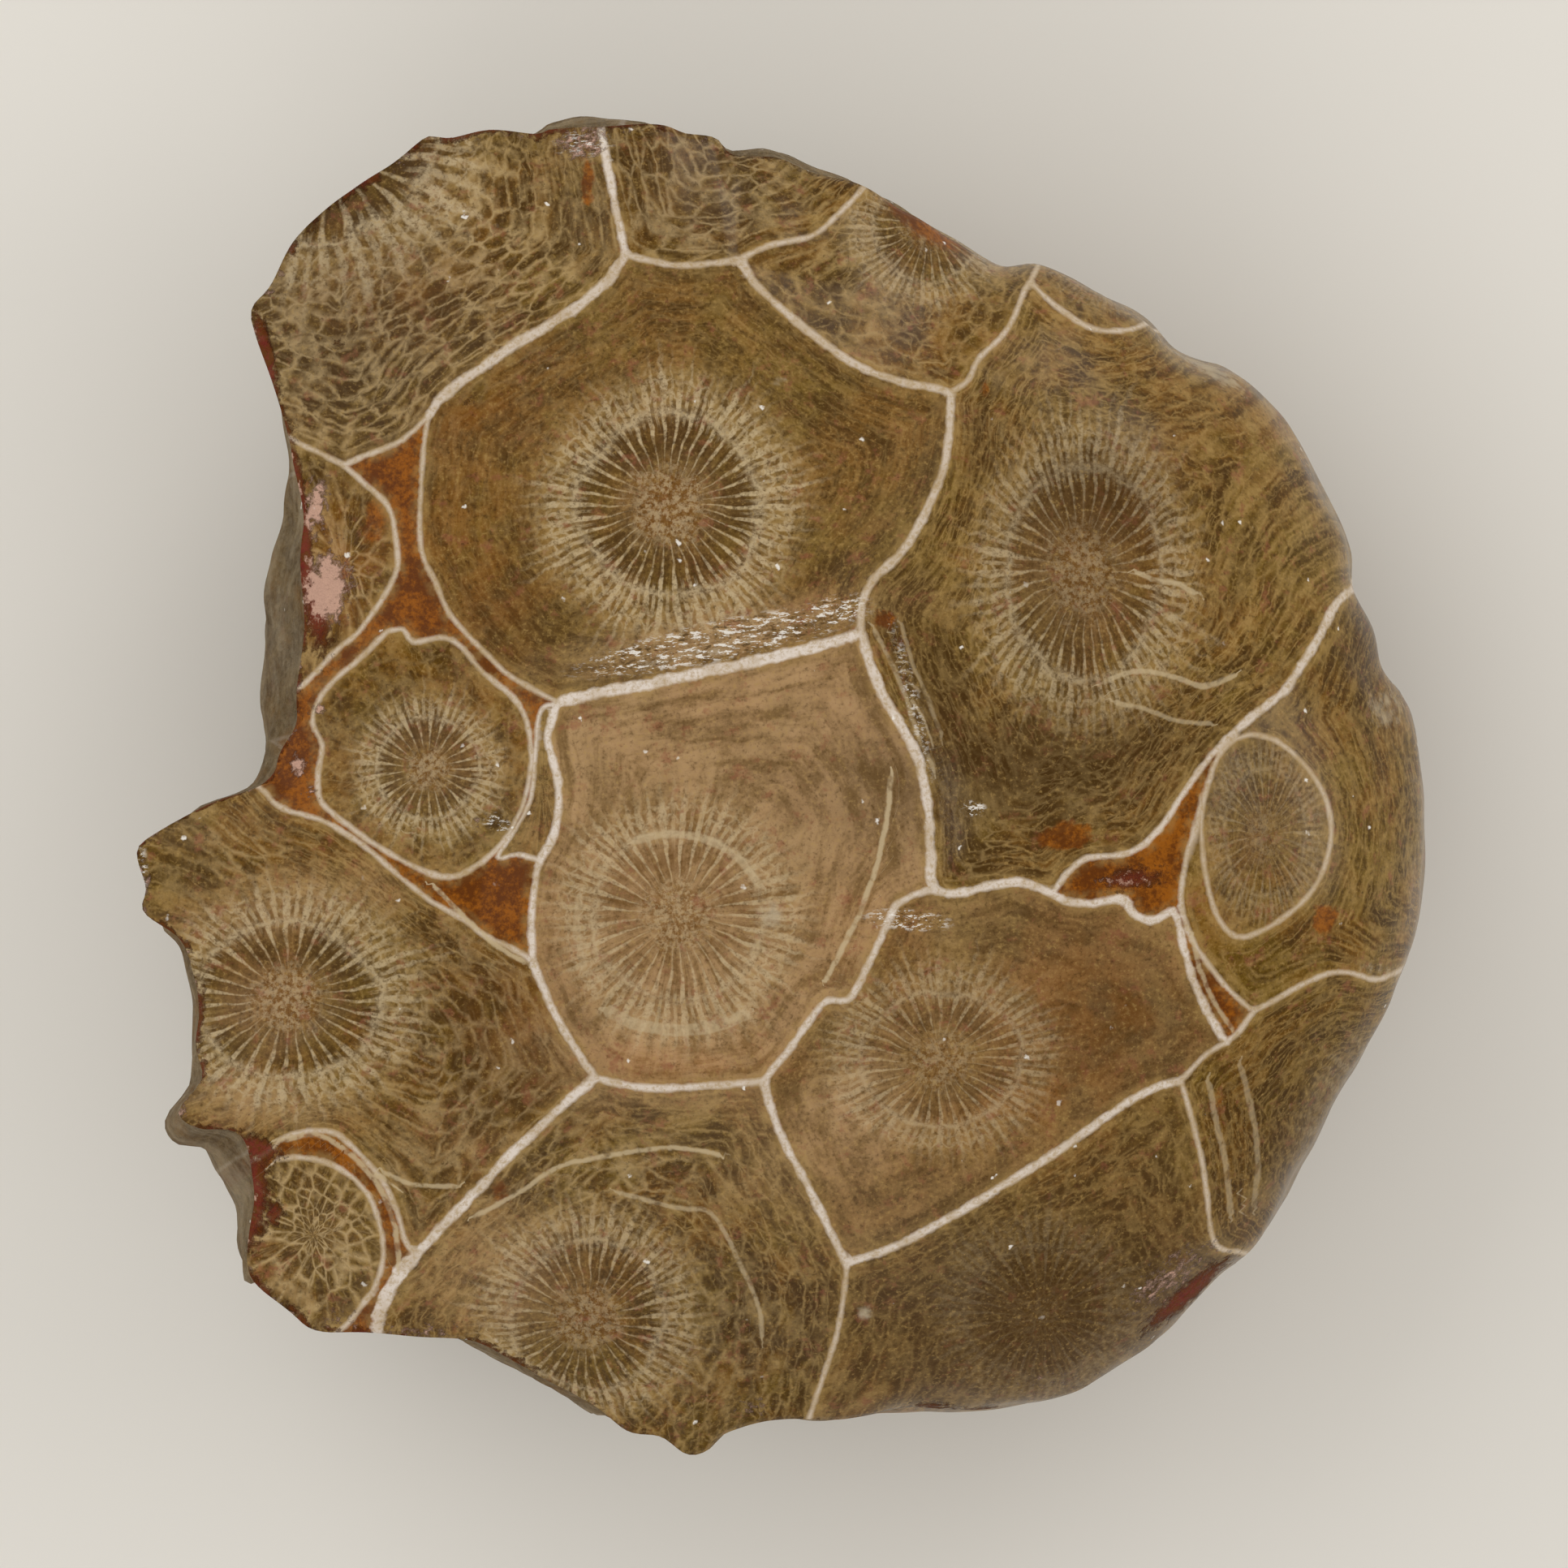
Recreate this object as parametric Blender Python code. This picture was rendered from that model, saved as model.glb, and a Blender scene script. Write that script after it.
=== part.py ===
"""A petoskey stone: a hand-sized piece of fossil colony coral, polished on top.

The stone lies flat on a small ground spot, with its polished face up. It is one solid, lofted as
rings round a vertical axis: the polished face, the broken or rounded sides and the base. The coral
cells show as shallow dishes between raised walls. Metres, +Z up, +Y towards the top of the face.
"""

import math

import bmesh
import bpy
import numpy as np
from mathutils import Vector, noise

MM = 0.001

# Driving sizes, in millimetres. PIXEL is the real size of one photograph pixel at the stone's edge.
# SPOT_SHARE is the ground spot's radius as a share of the stone's, and WORN_SPAN is how many degrees
# each way the outline is evened out over towards the base.
PIXEL = 0.026
THICKNESS = 21.0
SPOT_SHARE = 0.42
WORN_SPAN = 14

# The place in the photograph that the loft's axis passes through, in pixels.
AXIS_PX = (965, 960)

# Mesh fineness: spokes round the axis, and rings over the face, the side and the base.
SPOKES = 144
FACE_RINGS = 19
SIDE_RINGS = 10
BASE_RINGS = 4

NODE_NAME = "petoskey_stone"
STONE_COLOUR = (0.207, 0.125, 0.052, 1.0)
STONE_ROUGHNESS = 0.28

# The stone's outline from above, in photograph pixels, clockwise from the upper left corner.
OUTLINE_PX = [
    (519, 163), (533, 160), (555, 162), (590, 154), (612, 152), (660, 154), (675, 148), (727, 144),
    (810, 144), (845, 155), (883, 158), (903, 177), (957, 178), (1000, 199), (1064, 219), (1110, 243),
    (1183, 288), (1216, 309), (1242, 319), (1288, 317), (1340, 342), (1374, 361), (1420, 391), (1450, 422),
    (1480, 437), (1520, 448), (1550, 465), (1588, 505), (1612, 543), (1644, 612), (1668, 665), (1673, 720),
    (1700, 772), (1707, 818), (1735, 850), (1750, 880), (1757, 940), (1762, 1012), (1757, 1130), (1735, 1197),
    (1683, 1300), (1652, 1350), (1624, 1410), (1600, 1452), (1572, 1511), (1545, 1545), (1505, 1572), (1446, 1637),
    (1407, 1672), (1360, 1700), (1321, 1719), (1230, 1738), (1130, 1739), (1018, 1748), (960, 1746), (900, 1762),
    (876, 1785), (846, 1791), (813, 1774), (770, 1768), (724, 1732), (658, 1700), (586, 1658), (500, 1649),
    (421, 1644), (359, 1645), (322, 1622), (293, 1584), (288, 1532), (289, 1479), (268, 1435), (246, 1413),
    (214, 1406), (197, 1385), (203, 1366), (227, 1338), (234, 1300), (243, 1242), (234, 1190), (219, 1153),
    (175, 1120), (178, 1090), (167, 1045), (191, 1022), (257, 986), (318, 960), (328, 905), (325, 830),
    (328, 760), (333, 690), (345, 625), (352, 565), (339, 484), (312, 405), (308, 373), (331, 345),
    (359, 291), (400, 250), (440, 220), (478, 196),
]

# How the side differs round the stone. Each row is a bearing in degrees (0 at +X, counterclockwise),
# the rim's height and the widest level's height in mm, how sharp the rim is (0 rounded, 1 broken),
# and how far the broken side is scooped in, in mm.
SIDE_TABLE = [
    (0, 10.6, 9.0, 0.00, 0.0),
    (30, 11.2, 9.4, 0.00, 0.0),
    (60, 12.8, 9.6, 0.15, 0.1),
    (85, 15.2, 9.8, 0.65, 0.4),
    (105, 16.6, 9.8, 0.95, 0.6),
    (135, 17.4, 9.6, 1.00, 0.9),
    (160, 17.9, 9.0, 1.00, 0.9),
    (185, 18.1, 10.2, 1.00, 1.2),
    (205, 17.8, 10.0, 1.00, 1.3),
    (225, 17.0, 9.6, 1.00, 1.0),
    (250, 15.8, 9.6, 0.85, 0.7),
    (268, 14.4, 9.4, 0.60, 0.4),
    (290, 12.0, 9.2, 0.15, 0.1),
    (330, 10.8, 9.0, 0.00, 0.0),
]

# Where the body stands out past the polished face's rim: the bearing and the setback in mm.
SETBACK_TABLE = [
    (0, 0.10), (60, 0.12), (95, 0.22), (142, 0.16), (146, 0.35), (152, 0.95), (162, 1.35), (172, 1.10),
    (178, 0.45), (182, 0.12), (203, 0.14), (208, 0.75), (213, 1.30), (218, 0.85), (222, 0.60), (227, 0.85),
    (231, 0.25), (245, 0.20), (275, 0.14), (320, 0.10),
]

# Conchoidal scars on the broken side: bearing, height, scar radius and depth, in degrees and mm.
SCARS = [
    (96, 5.0, 7.5, 0.8), (118, 9.5, 6.5, 1.1), (136, 12.8, 4.0, 0.7), (141, 5.5, 5.6, 1.1),
    (166, 3.6, 5.6, 1.2), (193, 12.4, 4.4, 1.1), (198, 5.4, 5.2, 1.1), (216, 4.2, 5.0, 1.0),
    (236, 8.5, 6.6, 1.3), (256, 6.0, 6.0, 1.0), (278, 4.8, 7.0, 0.8),
]

# The walls between the coral's cells, in photograph pixels. Each runs from one junction to another,
# and those that leave the stone are carried on past its edge.
WALLS_PX = {
    "crown-north": [(772, 312), (800, 319), (835, 325), (875, 323), (912, 318)],
    "crown-north_east": [
        (912, 318), (930, 345), (952, 367), (985, 396), (1022, 425), (1065, 452), (1110, 468), (1148, 475),
        (1172, 481),
    ],
    "crown-east": [
        (1172, 481), (1171, 525), (1164, 573), (1150, 610), (1117, 672), (1078, 710), (1063, 742), (1062, 777),
    ],
    "crown-middle": [(1062, 777), (1010, 793), (940, 810), (870, 824), (800, 840), (740, 850), (690, 862)],
    "crown-infill": [
        (690, 862), (655, 843), (625, 825), (600, 800), (575, 775), (555, 750), (540, 715), (525, 685),
        (520, 650), (522, 600), (525, 550), (530, 512),
    ],
    "crown-north_west": [
        (530, 512), (547, 488), (572, 468), (605, 445), (640, 421), (680, 398), (720, 371), (750, 345),
        (772, 312),
    ],
    "north_west-north": [
        (772, 312), (768, 290), (760, 250), (752, 210), (746, 180), (742, 150), (740, 90), (735, 0),
    ],
    "north_west-infill": [(530, 512), (510, 531), (490, 545), (455, 558), (427, 571)],
    "north_west-shard": [(427, 571), (398, 556), (372, 544), (350, 532), (280, 510), (150, 480)],
    "shard-infill": [
        (427, 571), (460, 600), (482, 622), (490, 655), (493, 697), (480, 725), (462, 752), (445, 775),
        (415, 800), (395, 822), (368, 845), (300, 880), (180, 900),
    ],
    "north-north_east": [(912, 318), (950, 300), (1000, 289), (1030, 265), (1070, 222), (1100, 170), (1120, 60)],
    "north_east-east": [
        (1172, 481), (1194, 466), (1206, 440), (1235, 412), (1252, 385), (1262, 358), (1271, 342),
    ],
    "north_east-rim_bud": [(1271, 342), (1283, 318), (1300, 260), (1320, 170)],
    "east-rim_bud": [
        (1271, 342), (1290, 362), (1320, 386), (1350, 402), (1385, 403), (1418, 392), (1480, 350), (1540, 290),
    ],
    "east-far_east": [
        (1508, 910), (1530, 890), (1555, 870), (1585, 845), (1605, 815), (1630, 775), (1645, 745), (1670, 722),
        (1740, 680), (1850, 640),
    ],
    "east-infill": [
        (1297, 1096), (1315, 1070), (1340, 1052), (1370, 1050), (1400, 1042), (1430, 1015), (1450, 985),
        (1470, 955), (1490, 930), (1508, 910),
    ],
    "east-low_east": [(1148, 1090), (1180, 1096), (1220, 1086), (1255, 1082), (1280, 1089), (1297, 1096)],
    "low_east-infill": [
        (1297, 1096), (1315, 1106), (1345, 1108), (1385, 1102), (1395, 1120), (1420, 1130), (1447, 1118),
        (1458, 1160), (1470, 1200), (1485, 1235), (1500, 1262), (1512, 1279),
    ],
    "middle-east": [
        (1062, 777), (1075, 820), (1095, 865), (1120, 905), (1136, 945), (1145, 1000), (1147, 1050),
        (1148, 1090),
    ],
    "middle-low_east": [
        (1148, 1090), (1128, 1097), (1105, 1110), (1093, 1135), (1078, 1168), (1060, 1205), (1045, 1226),
        (1020, 1227), (1000, 1250), (975, 1285), (942, 1325),
    ],
    "middle-south": [(942, 1325), (920, 1328), (880, 1331), (830, 1334), (780, 1332), (737, 1322)],
    "middle-west": [(737, 1322), (715, 1292), (693, 1255), (674, 1215), (659, 1178)],
    "middle-infill": [(659, 1178), (658, 1130), (661, 1090), (668, 1055)],
    "middle-sliver": [
        (668, 1055), (683, 1030), (690, 1000), (691, 960), (683, 930), (678, 905), (682, 885), (690, 862),
    ],
    "sliver-infill": [
        (690, 862), (670, 870), (664, 900), (662, 935), (656, 982), (636, 1020), (616, 1052), (640, 1048),
        (668, 1055),
    ],
    "west-infill": [
        (659, 1178), (630, 1161), (600, 1147), (570, 1125), (530, 1102), (490, 1070), (450, 1036), (400, 1006),
        (350, 991), (318, 962), (250, 920), (150, 880),
    ],
    "south-west": [
        (737, 1322), (700, 1352), (662, 1387), (630, 1417), (600, 1450), (570, 1482), (545, 1508), (515, 1540),
    ],
    "west-south_bud": [
        (515, 1540), (503, 1525), (493, 1490), (478, 1455), (455, 1425), (430, 1400), (410, 1388), (380, 1388),
        (350, 1397), (330, 1416), (280, 1440), (180, 1500),
    ],
    "south-low_east": [(942, 1325), (955, 1370), (975, 1415), (1000, 1460), (1022, 1507), (1045, 1550)],
    "south-heel": [
        (1045, 1550), (1041, 1590), (1032, 1640), (1016, 1690), (998, 1745), (975, 1820), (960, 1920),
    ],
    "south-infill": [(515, 1540), (492, 1565), (472, 1600), (466, 1645), (460, 1720), (430, 1850)],
    "low_east-heel": [
        (1045, 1550), (1100, 1531), (1150, 1505), (1200, 1477), (1250, 1446), (1300, 1415), (1340, 1386),
        (1385, 1355), (1420, 1336), (1455, 1326),
    ],
    "low_east-flank": [(1455, 1326), (1470, 1310), (1490, 1291), (1512, 1279)],
    "heel-flank": [
        (1455, 1326), (1467, 1365), (1481, 1420), (1489, 1470), (1494, 1512), (1506, 1535), (1545, 1545),
        (1600, 1600), (1680, 1700),
    ],
    "flank-infill": [(1512, 1279), (1530, 1262), (1545, 1241)],
    "far_east-flank": [
        (1545, 1241), (1570, 1228), (1600, 1211), (1640, 1194), (1670, 1195), (1700, 1203), (1740, 1188),
        (1830, 1160), (1930, 1130),
    ],
    "far_east-infill": [
        (1545, 1241), (1515, 1215), (1490, 1185), (1468, 1150), (1455, 1110), (1458, 1070), (1466, 1035),
        (1478, 990), (1492, 950), (1508, 910),
    ],
    "south_bud-infill": [
        (345, 1422), (372, 1420), (402, 1425), (432, 1440), (456, 1465), (470, 1500), (475, 1540), (466, 1575),
        (450, 1600), (430, 1626), (408, 1648), (380, 1720), (340, 1800),
    ],
    "west_bud": [
        (480, 775), (500, 772), (512, 788), (545, 782), (570, 792), (598, 825), (635, 855), (652, 885),
        (658, 930), (650, 980), (632, 1020), (612, 1045), (590, 1062), (560, 1076), (525, 1068), (480, 1045),
        (440, 1018), (400, 985), (395, 950), (400, 915), (388, 885), (398, 855), (420, 830), (450, 805),
        (480, 775),
    ],
    "east_bud": [
        (1545, 900), (1575, 910), (1605, 935), (1630, 970), (1641, 1010), (1637, 1050), (1620, 1090),
        (1590, 1120), (1555, 1142), (1525, 1150), (1503, 1130), (1490, 1095), (1482, 1050), (1480, 1005),
        (1487, 965), (1500, 930), (1520, 908), (1545, 900),
    ],
}

# Each cell of the coral: the walls round it in order, the points past the stone's edge that close it,
# and how deep its dish is, in mm.
CELLS = {
    "crown": (
        ["crown-north", "crown-north_east", "crown-east", "crown-middle", "crown-infill", "crown-north_west"],
        [], 0.62,
    ),
    "north_west": (
        ["north_west-shard", "north_west-infill", "crown-north_west", "north_west-north"],
        [(600, -120), (350, -150), (120, 0), (60, 250)], 0.42,
    ),
    "north": (
        ["north_west-north", "crown-north", "north-north_east"],
        [(1100, -60), (900, -120)], 0.36,
    ),
    "north_east": (
        ["north-north_east", "crown-north_east", "north_east-east", "north_east-rim_bud"],
        [(1300, 60), (1200, 0)], 0.42,
    ),
    "rim_bud": (["north_east-rim_bud", "east-rim_bud"], [(1560, 200), (1450, 130)], 0.20),
    "east": (
        ["east-far_east", "east-infill", "east-low_east", "middle-east", "crown-east", "north_east-east",
         "east-rim_bud"],
        [(1700, 330), (1850, 500)], 0.66,
    ),
    "middle": (
        ["crown-middle", "middle-east", "middle-low_east", "middle-south", "middle-west", "middle-infill",
         "middle-sliver"],
        [], 0.16,
    ),
    "low_east": (
        ["middle-low_east", "east-low_east", "low_east-infill", "low_east-flank", "low_east-heel",
         "south-low_east"],
        [], 0.34,
    ),
    "heel": (
        ["south-heel", "low_east-heel", "heel-flank"],
        [(1550, 1880), (1300, 1980), (1100, 1990)], 0.34,
    ),
    "flank": (
        ["heel-flank", "low_east-flank", "flank-infill", "far_east-flank"],
        [(1950, 1350), (1850, 1550)], 0.24,
    ),
    "far_east": (
        ["far_east-flank", "far_east-infill", "east-far_east"],
        [(1950, 720), (1990, 900)], 0.24,
    ),
    "east_bud": (["east_bud"], [], 0.22),
    "west_bud": (["west_bud"], [], 0.40),
    "west": (
        ["west-south_bud", "south-west", "middle-west", "west-infill"],
        [(50, 1000), (-20, 1250), (60, 1450)], 0.50,
    ),
    "south_bud": (["south_bud-infill"], [(200, 1760), (130, 1620), (200, 1500)], 0.30),
    "south": (
        ["south-infill", "south-west", "middle-south", "south-low_east", "south-heel"],
        [(800, 1960), (600, 1950)], 0.46,
    ),
    "shard": (["north_west-shard", "shard-infill"], [(100, 700)], 0.20),
    "sliver": (["middle-sliver", "sliver-infill"], [], 0.12),
}

# The middle cell stands proud of its neighbours on a low step, in mm.
STEP_CELL = "middle"
STEP_HEIGHT = 0.42
STEP_WIDTH = 1.9
DISH_WIDTH = 1.7


def plan_mm(points):
    """Photograph pixels as millimetres from the loft's axis, with +Y up the photograph."""
    pixels = np.asarray(points, float)
    return (pixels - AXIS_PX) * (PIXEL, -PIXEL)


def smooth_curve(points, closed, per_span=6):
    """Points along a Catmull-Rom curve through the given ones."""
    points = np.asarray(points, float)
    if closed:
        before, after = points[-1:], points[:2]
    else:
        before, after = 2 * points[:1] - points[1:2], 2 * points[-1:] - points[-2:-1]
    padded = np.concatenate([before, points, after])
    found = []
    for i in range(len(padded) - 3):
        a, b, c, d = padded[i : i + 4]
        for t in np.arange(per_span) / per_span:
            found.append(
                0.5 * (2 * b + (c - a) * t + (2 * a - 5 * b + 4 * c - d) * t**2 + (3 * b - a - 3 * c + d) * t**3)
            )
    if not closed:
        found.append(points[-1])
    return np.array(found)


def chained(walls, closing):
    """One closed outline from walls that meet end to end, and the points that close it, in pixels."""
    curves = [smooth_curve(WALLS_PX[name], closed=False, per_span=3) for name in walls]
    outline = curves[0]
    if len(curves) > 1:
        gaps = [np.linalg.norm(outline[i] - curves[1][j]) for i in (0, -1) for j in (0, -1)]
        if int(np.argmin(gaps)) < 2:
            outline = outline[::-1]
    for curve in curves[1:]:
        if np.linalg.norm(curve[-1] - outline[-1]) < np.linalg.norm(curve[0] - outline[-1]):
            curve = curve[::-1]
        outline = np.concatenate([outline, curve[1:]])
    if closing:
        ends = np.linalg.norm(np.array(closing)[[0, -1]] - outline[-1], axis=1)
        tail = closing if ends[0] <= ends[1] else closing[::-1]
        outline = np.concatenate([outline, tail])
    return plan_mm(outline)


def signed_distance(points, outline):
    """Distance from each point to a closed outline, positive inside."""
    nearest = np.full(len(points), np.inf)
    inside = np.zeros(len(points), bool)
    for a, b in zip(outline, np.roll(outline, -1, axis=0)):
        edge = b - a
        along = np.clip(((points - a) @ edge) / max(edge @ edge, 1e-12), 0, 1)
        gap = points - a - along[:, None] * edge
        nearest = np.minimum(nearest, np.hypot(gap[:, 0], gap[:, 1]))
        if a[1] != b[1]:
            spans = (a[1] > points[:, 1]) != (b[1] > points[:, 1])
            crossing = a[0] + (points[:, 1] - a[1]) / (b[1] - a[1]) * (b[0] - a[0])
            inside ^= spans & (points[:, 0] < crossing)
    return np.where(inside, nearest, -nearest)


def eased(bearings, table, column):
    """A column of a bearing table at each bearing, in degrees, with level tangents at its rows."""
    rows = sorted(table)
    knots = np.array([row[0] for row in rows] + [rows[0][0] + 360], float)
    values = np.array([row[column] for row in rows] + [rows[0][column]], float)
    turned = (np.asarray(bearings, float) - knots[0]) % 360 + knots[0]
    index = np.clip(np.searchsorted(knots, turned, side="right") - 1, 0, len(knots) - 2)
    share = (turned - knots[index]) / (knots[index + 1] - knots[index])
    share = (1 - np.cos(math.pi * share)) / 2
    return values[index] * (1 - share) + values[index + 1] * share


def outline_radius(bearings):
    """The outline's distance from the axis at each bearing, in mm."""
    curve = smooth_curve(plan_mm(OUTLINE_PX), closed=True)
    angles = np.degrees(np.arctan2(curve[:, 1], curve[:, 0])) % 360
    order = np.argsort(angles)
    return np.interp(bearings, angles[order], np.hypot(curve[:, 0], curve[:, 1])[order], period=360)


def worn_radius(bearings):
    """The outline's distance from the axis in mm, evened out over the bearings on both sides."""
    spans = np.linspace(-WORN_SPAN, WORN_SPAN, 15)
    weights = np.cos(np.linspace(-1, 1, 15) * math.pi / 2) + 0.01
    return sum(w * outline_radius(bearings + span) for w, span in zip(weights, spans)) / weights.sum()


def even_steps(path, count):
    """count + 1 points at even spacing along a path of (radius, height) rows."""
    lengths = np.concatenate([[0], np.cumsum(np.hypot(*np.diff(path, axis=0).T))])
    wanted = np.linspace(0, lengths[-1], count + 1)
    return np.stack([np.interp(wanted, lengths, path[:, k]) for k in (0, 1)], axis=1)


def profile(bearing, body_radius, foot_radius, rings):
    """The stone's section at a bearing, as (radius, height) rows from the top's centre to the base's."""
    rim_height, belly_height, sharp, scoop = (eased([bearing], SIDE_TABLE, k)[0] for k in range(1, 5))
    setback = eased([bearing], SETBACK_TABLE, 1)[0]
    rim_radius = body_radius - setback
    spot_radius = foot_radius * SPOT_SHARE
    share = np.linspace(0, 1, 200)

    # The outline's small bulges belong to the rim, and die out below it, except on the standing ledges.
    bulge = max(body_radius - foot_radius, 0) * (1 - min(setback / 0.8, 1))
    belly_radius = body_radius - 0.7 * bulge

    # The face falls as a full curve to a rounded rim, and as a gentle slope to a broken one. The rim's
    # small bulges reach only a little way in over it.
    turn = share * math.pi / 2
    full = np.stack([np.sin(turn) ** 0.77, 1 - np.cos(turn)], axis=1)
    gentle = np.stack([share, share**2.2], axis=1)
    form = full * (1 - sharp) + gentle * sharp
    reach = foot_radius + (rim_radius - foot_radius) * share**5
    face = np.stack([reach * form[:, 0], THICKNESS - (THICKNESS - rim_height) * form[:, 1]], axis=1)

    # The side runs from the rim out to the belly, scooped where it is broken, and then in to the base.
    upper = np.stack(
        [
            rim_radius + (belly_radius - rim_radius) * share**1.5 - scoop * np.sin(math.pi * share) ** 1.2,
            rim_height + (belly_height - rim_height) * share,
        ],
        axis=1,
    )
    waist_radius = belly_radius + (foot_radius - belly_radius) * share**0.6
    lower = np.stack(
        [
            np.minimum(spot_radius + (waist_radius - spot_radius) * np.cos(turn) ** 0.8, belly_radius),
            belly_height * (1 - np.sin(turn) ** 0.9),
        ],
        axis=1,
    )
    side = np.concatenate([upper, lower[1:]])
    base = np.array([[spot_radius, 0.0], [0.0, 0.0]])
    face_count, side_count, base_count = rings
    return np.concatenate(
        [
            even_steps(face, face_count),
            even_steps(side, side_count)[1:],
            even_steps(base, base_count)[1:],
        ]
    )


def scarred(points, bearings):
    """Pulls the side in to each scar's hollow, along the line to the axis."""
    radius = np.hypot(points[:, 0], points[:, 1])
    for bearing, height, size, depth in SCARS:
        turn = math.radians(bearing)
        away = outline_radius([bearing])[0] + size - depth
        ahead = away * np.cos(np.radians(bearings) - turn)
        reach = ahead**2 - (away**2 + (points[:, 2] - height) ** 2 - size**2)
        entry = ahead - np.sqrt(np.maximum(reach, 0))
        hit = (reach > 0) & (entry > 0) & (radius > entry)
        scale = np.where(hit, entry / np.maximum(radius, 1e-9), 1.0)
        points[:, :2] *= scale[:, None]
        radius = radius * scale
    return points


def roughened(points, bearings):
    """Lumps on the sides: bold where the side is broken, faint where it is worn round."""
    sharp = eased(bearings, SIDE_TABLE, 3)
    for i, point in enumerate(points):
        below = np.clip((THICKNESS - 3.5 - point[2]) / 3, 0, 1) * np.clip(point[2] / 2, 0, 1)
        if below <= 0:
            continue
        size = below * (0.12 + 0.30 * sharp[i])
        lump = noise.noise(Vector(point) * 0.28) + 0.5 * noise.noise(Vector(point) * 0.7 + Vector((9, 4, 2)))
        point[:2] *= 1 + size * lump / max(math.hypot(point[0], point[1]), 1)
    return points


def cell_relief(points):
    """How far the face stands above or below its plain curve at each point, in mm."""
    plan = points[:, :2]
    relief = np.zeros(len(points))
    for name, (walls, closing, depth) in CELLS.items():
        inside = signed_distance(plan, chained(walls, closing))
        if name == STEP_CELL:
            rise = np.clip(1 + inside / STEP_WIDTH, 0, 1)
            relief += STEP_HEIGHT * rise * rise * (3 - 2 * rise)
        relief -= depth * (1 - np.exp(-np.maximum(inside, 0) / DISH_WIDTH))
    return relief


def stone_points(spokes, rings):
    """The stone's rings of points, from the top's centre to the base's, in mm, as [ring, spoke, xyz]."""
    bearings = np.arange(spokes) * 360 / spokes
    sections = np.array(
        [
            profile(bearing, body_radius, foot_radius, rings)
            for bearing, body_radius, foot_radius in zip(bearings, outline_radius(bearings), worn_radius(bearings))
        ]
    )
    turn = np.radians(bearings)[:, None]
    grid = np.stack(
        [sections[:, :, 0] * np.cos(turn), sections[:, :, 0] * np.sin(turn), sections[:, :, 1]], axis=2
    )
    grid = grid.transpose(1, 0, 2)
    shape = grid.shape
    points = grid.reshape(-1, 3).copy()
    around = np.tile(bearings, shape[0])
    points = roughened(scarred(points, around), around)
    fade = np.ones(shape[0])
    below_rim = np.arange(shape[0]) - rings[0]
    fade[below_rim > 0] = np.exp(-below_rim[below_rim > 0] / (0.12 * rings[1]))
    fade[below_rim >= rings[1]] = 0
    points[:, 2] += cell_relief(points) * np.repeat(fade, spokes)
    return points.reshape(shape)


def stone_mesh():
    """One closed mesh lofted through the rings, with a fan at each end."""
    rings = (FACE_RINGS, SIDE_RINGS, BASE_RINGS)
    grid = stone_points(SPOKES, rings)
    body = grid[1:-1].reshape(-1, 3)
    middle = (body.min(0) + body.max(0)) / 2
    shift = np.array([middle[0], middle[1], 0.0])
    mesh = bmesh.new()
    loops = [
        [mesh.verts.new((point - shift) * MM) for point in ring]
        for ring in grid[1:-1]
    ]
    top = mesh.verts.new((grid[0, 0] - shift) * MM)
    bottom = mesh.verts.new((grid[-1, 0] - shift) * MM)
    for k in range(SPOKES):
        after = (k + 1) % SPOKES
        mesh.faces.new((top, loops[0][k], loops[0][after]))
        for upper, lower in zip(loops, loops[1:]):
            mesh.faces.new((upper[k], lower[k], lower[after], upper[after]))
        mesh.faces.new((loops[-1][k], bottom, loops[-1][after]))
    bmesh.ops.triangulate(mesh, faces=mesh.faces[:])
    bmesh.ops.recalc_face_normals(mesh, faces=mesh.faces[:])
    data = bpy.data.meshes.new(NODE_NAME)
    mesh.to_mesh(data)
    mesh.free()
    return data


def stone_material():
    """Polished fossil coral: warm brown limestone with a soft shine."""
    material = bpy.data.materials.new("polished_coral")
    material.use_nodes = True
    shader = material.node_tree.nodes["Principled BSDF"]
    shader.inputs["Base Color"].default_value = STONE_COLOUR
    shader.inputs["Roughness"].default_value = STONE_ROUGHNESS
    shader.inputs["Metallic"].default_value = 0.0
    return material


def main():
    for old in list(bpy.data.objects):
        bpy.data.objects.remove(old)
    stone = bpy.data.objects.new(NODE_NAME, stone_mesh())
    stone.data.materials.append(stone_material())
    stone.data.shade_smooth()
    stone.data.set_sharp_from_angle(angle=math.radians(35))
    bpy.context.scene.collection.objects.link(stone)


main()
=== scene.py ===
"""The petoskey stone, dressed: the same form as its solid, finer, with the coral's pattern on it.

Every cell of the coral is drawn from its walls. Each point of the surface knows, for the cell it is
in, its place round the cell's middle and its distance to the wall, and the material grows the septa,
the rings, the net of tissue and the pale walls from those. Metres, +Z up.
"""

import math
from types import SimpleNamespace

import bpy
import numpy as np
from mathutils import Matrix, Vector, noise


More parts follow.
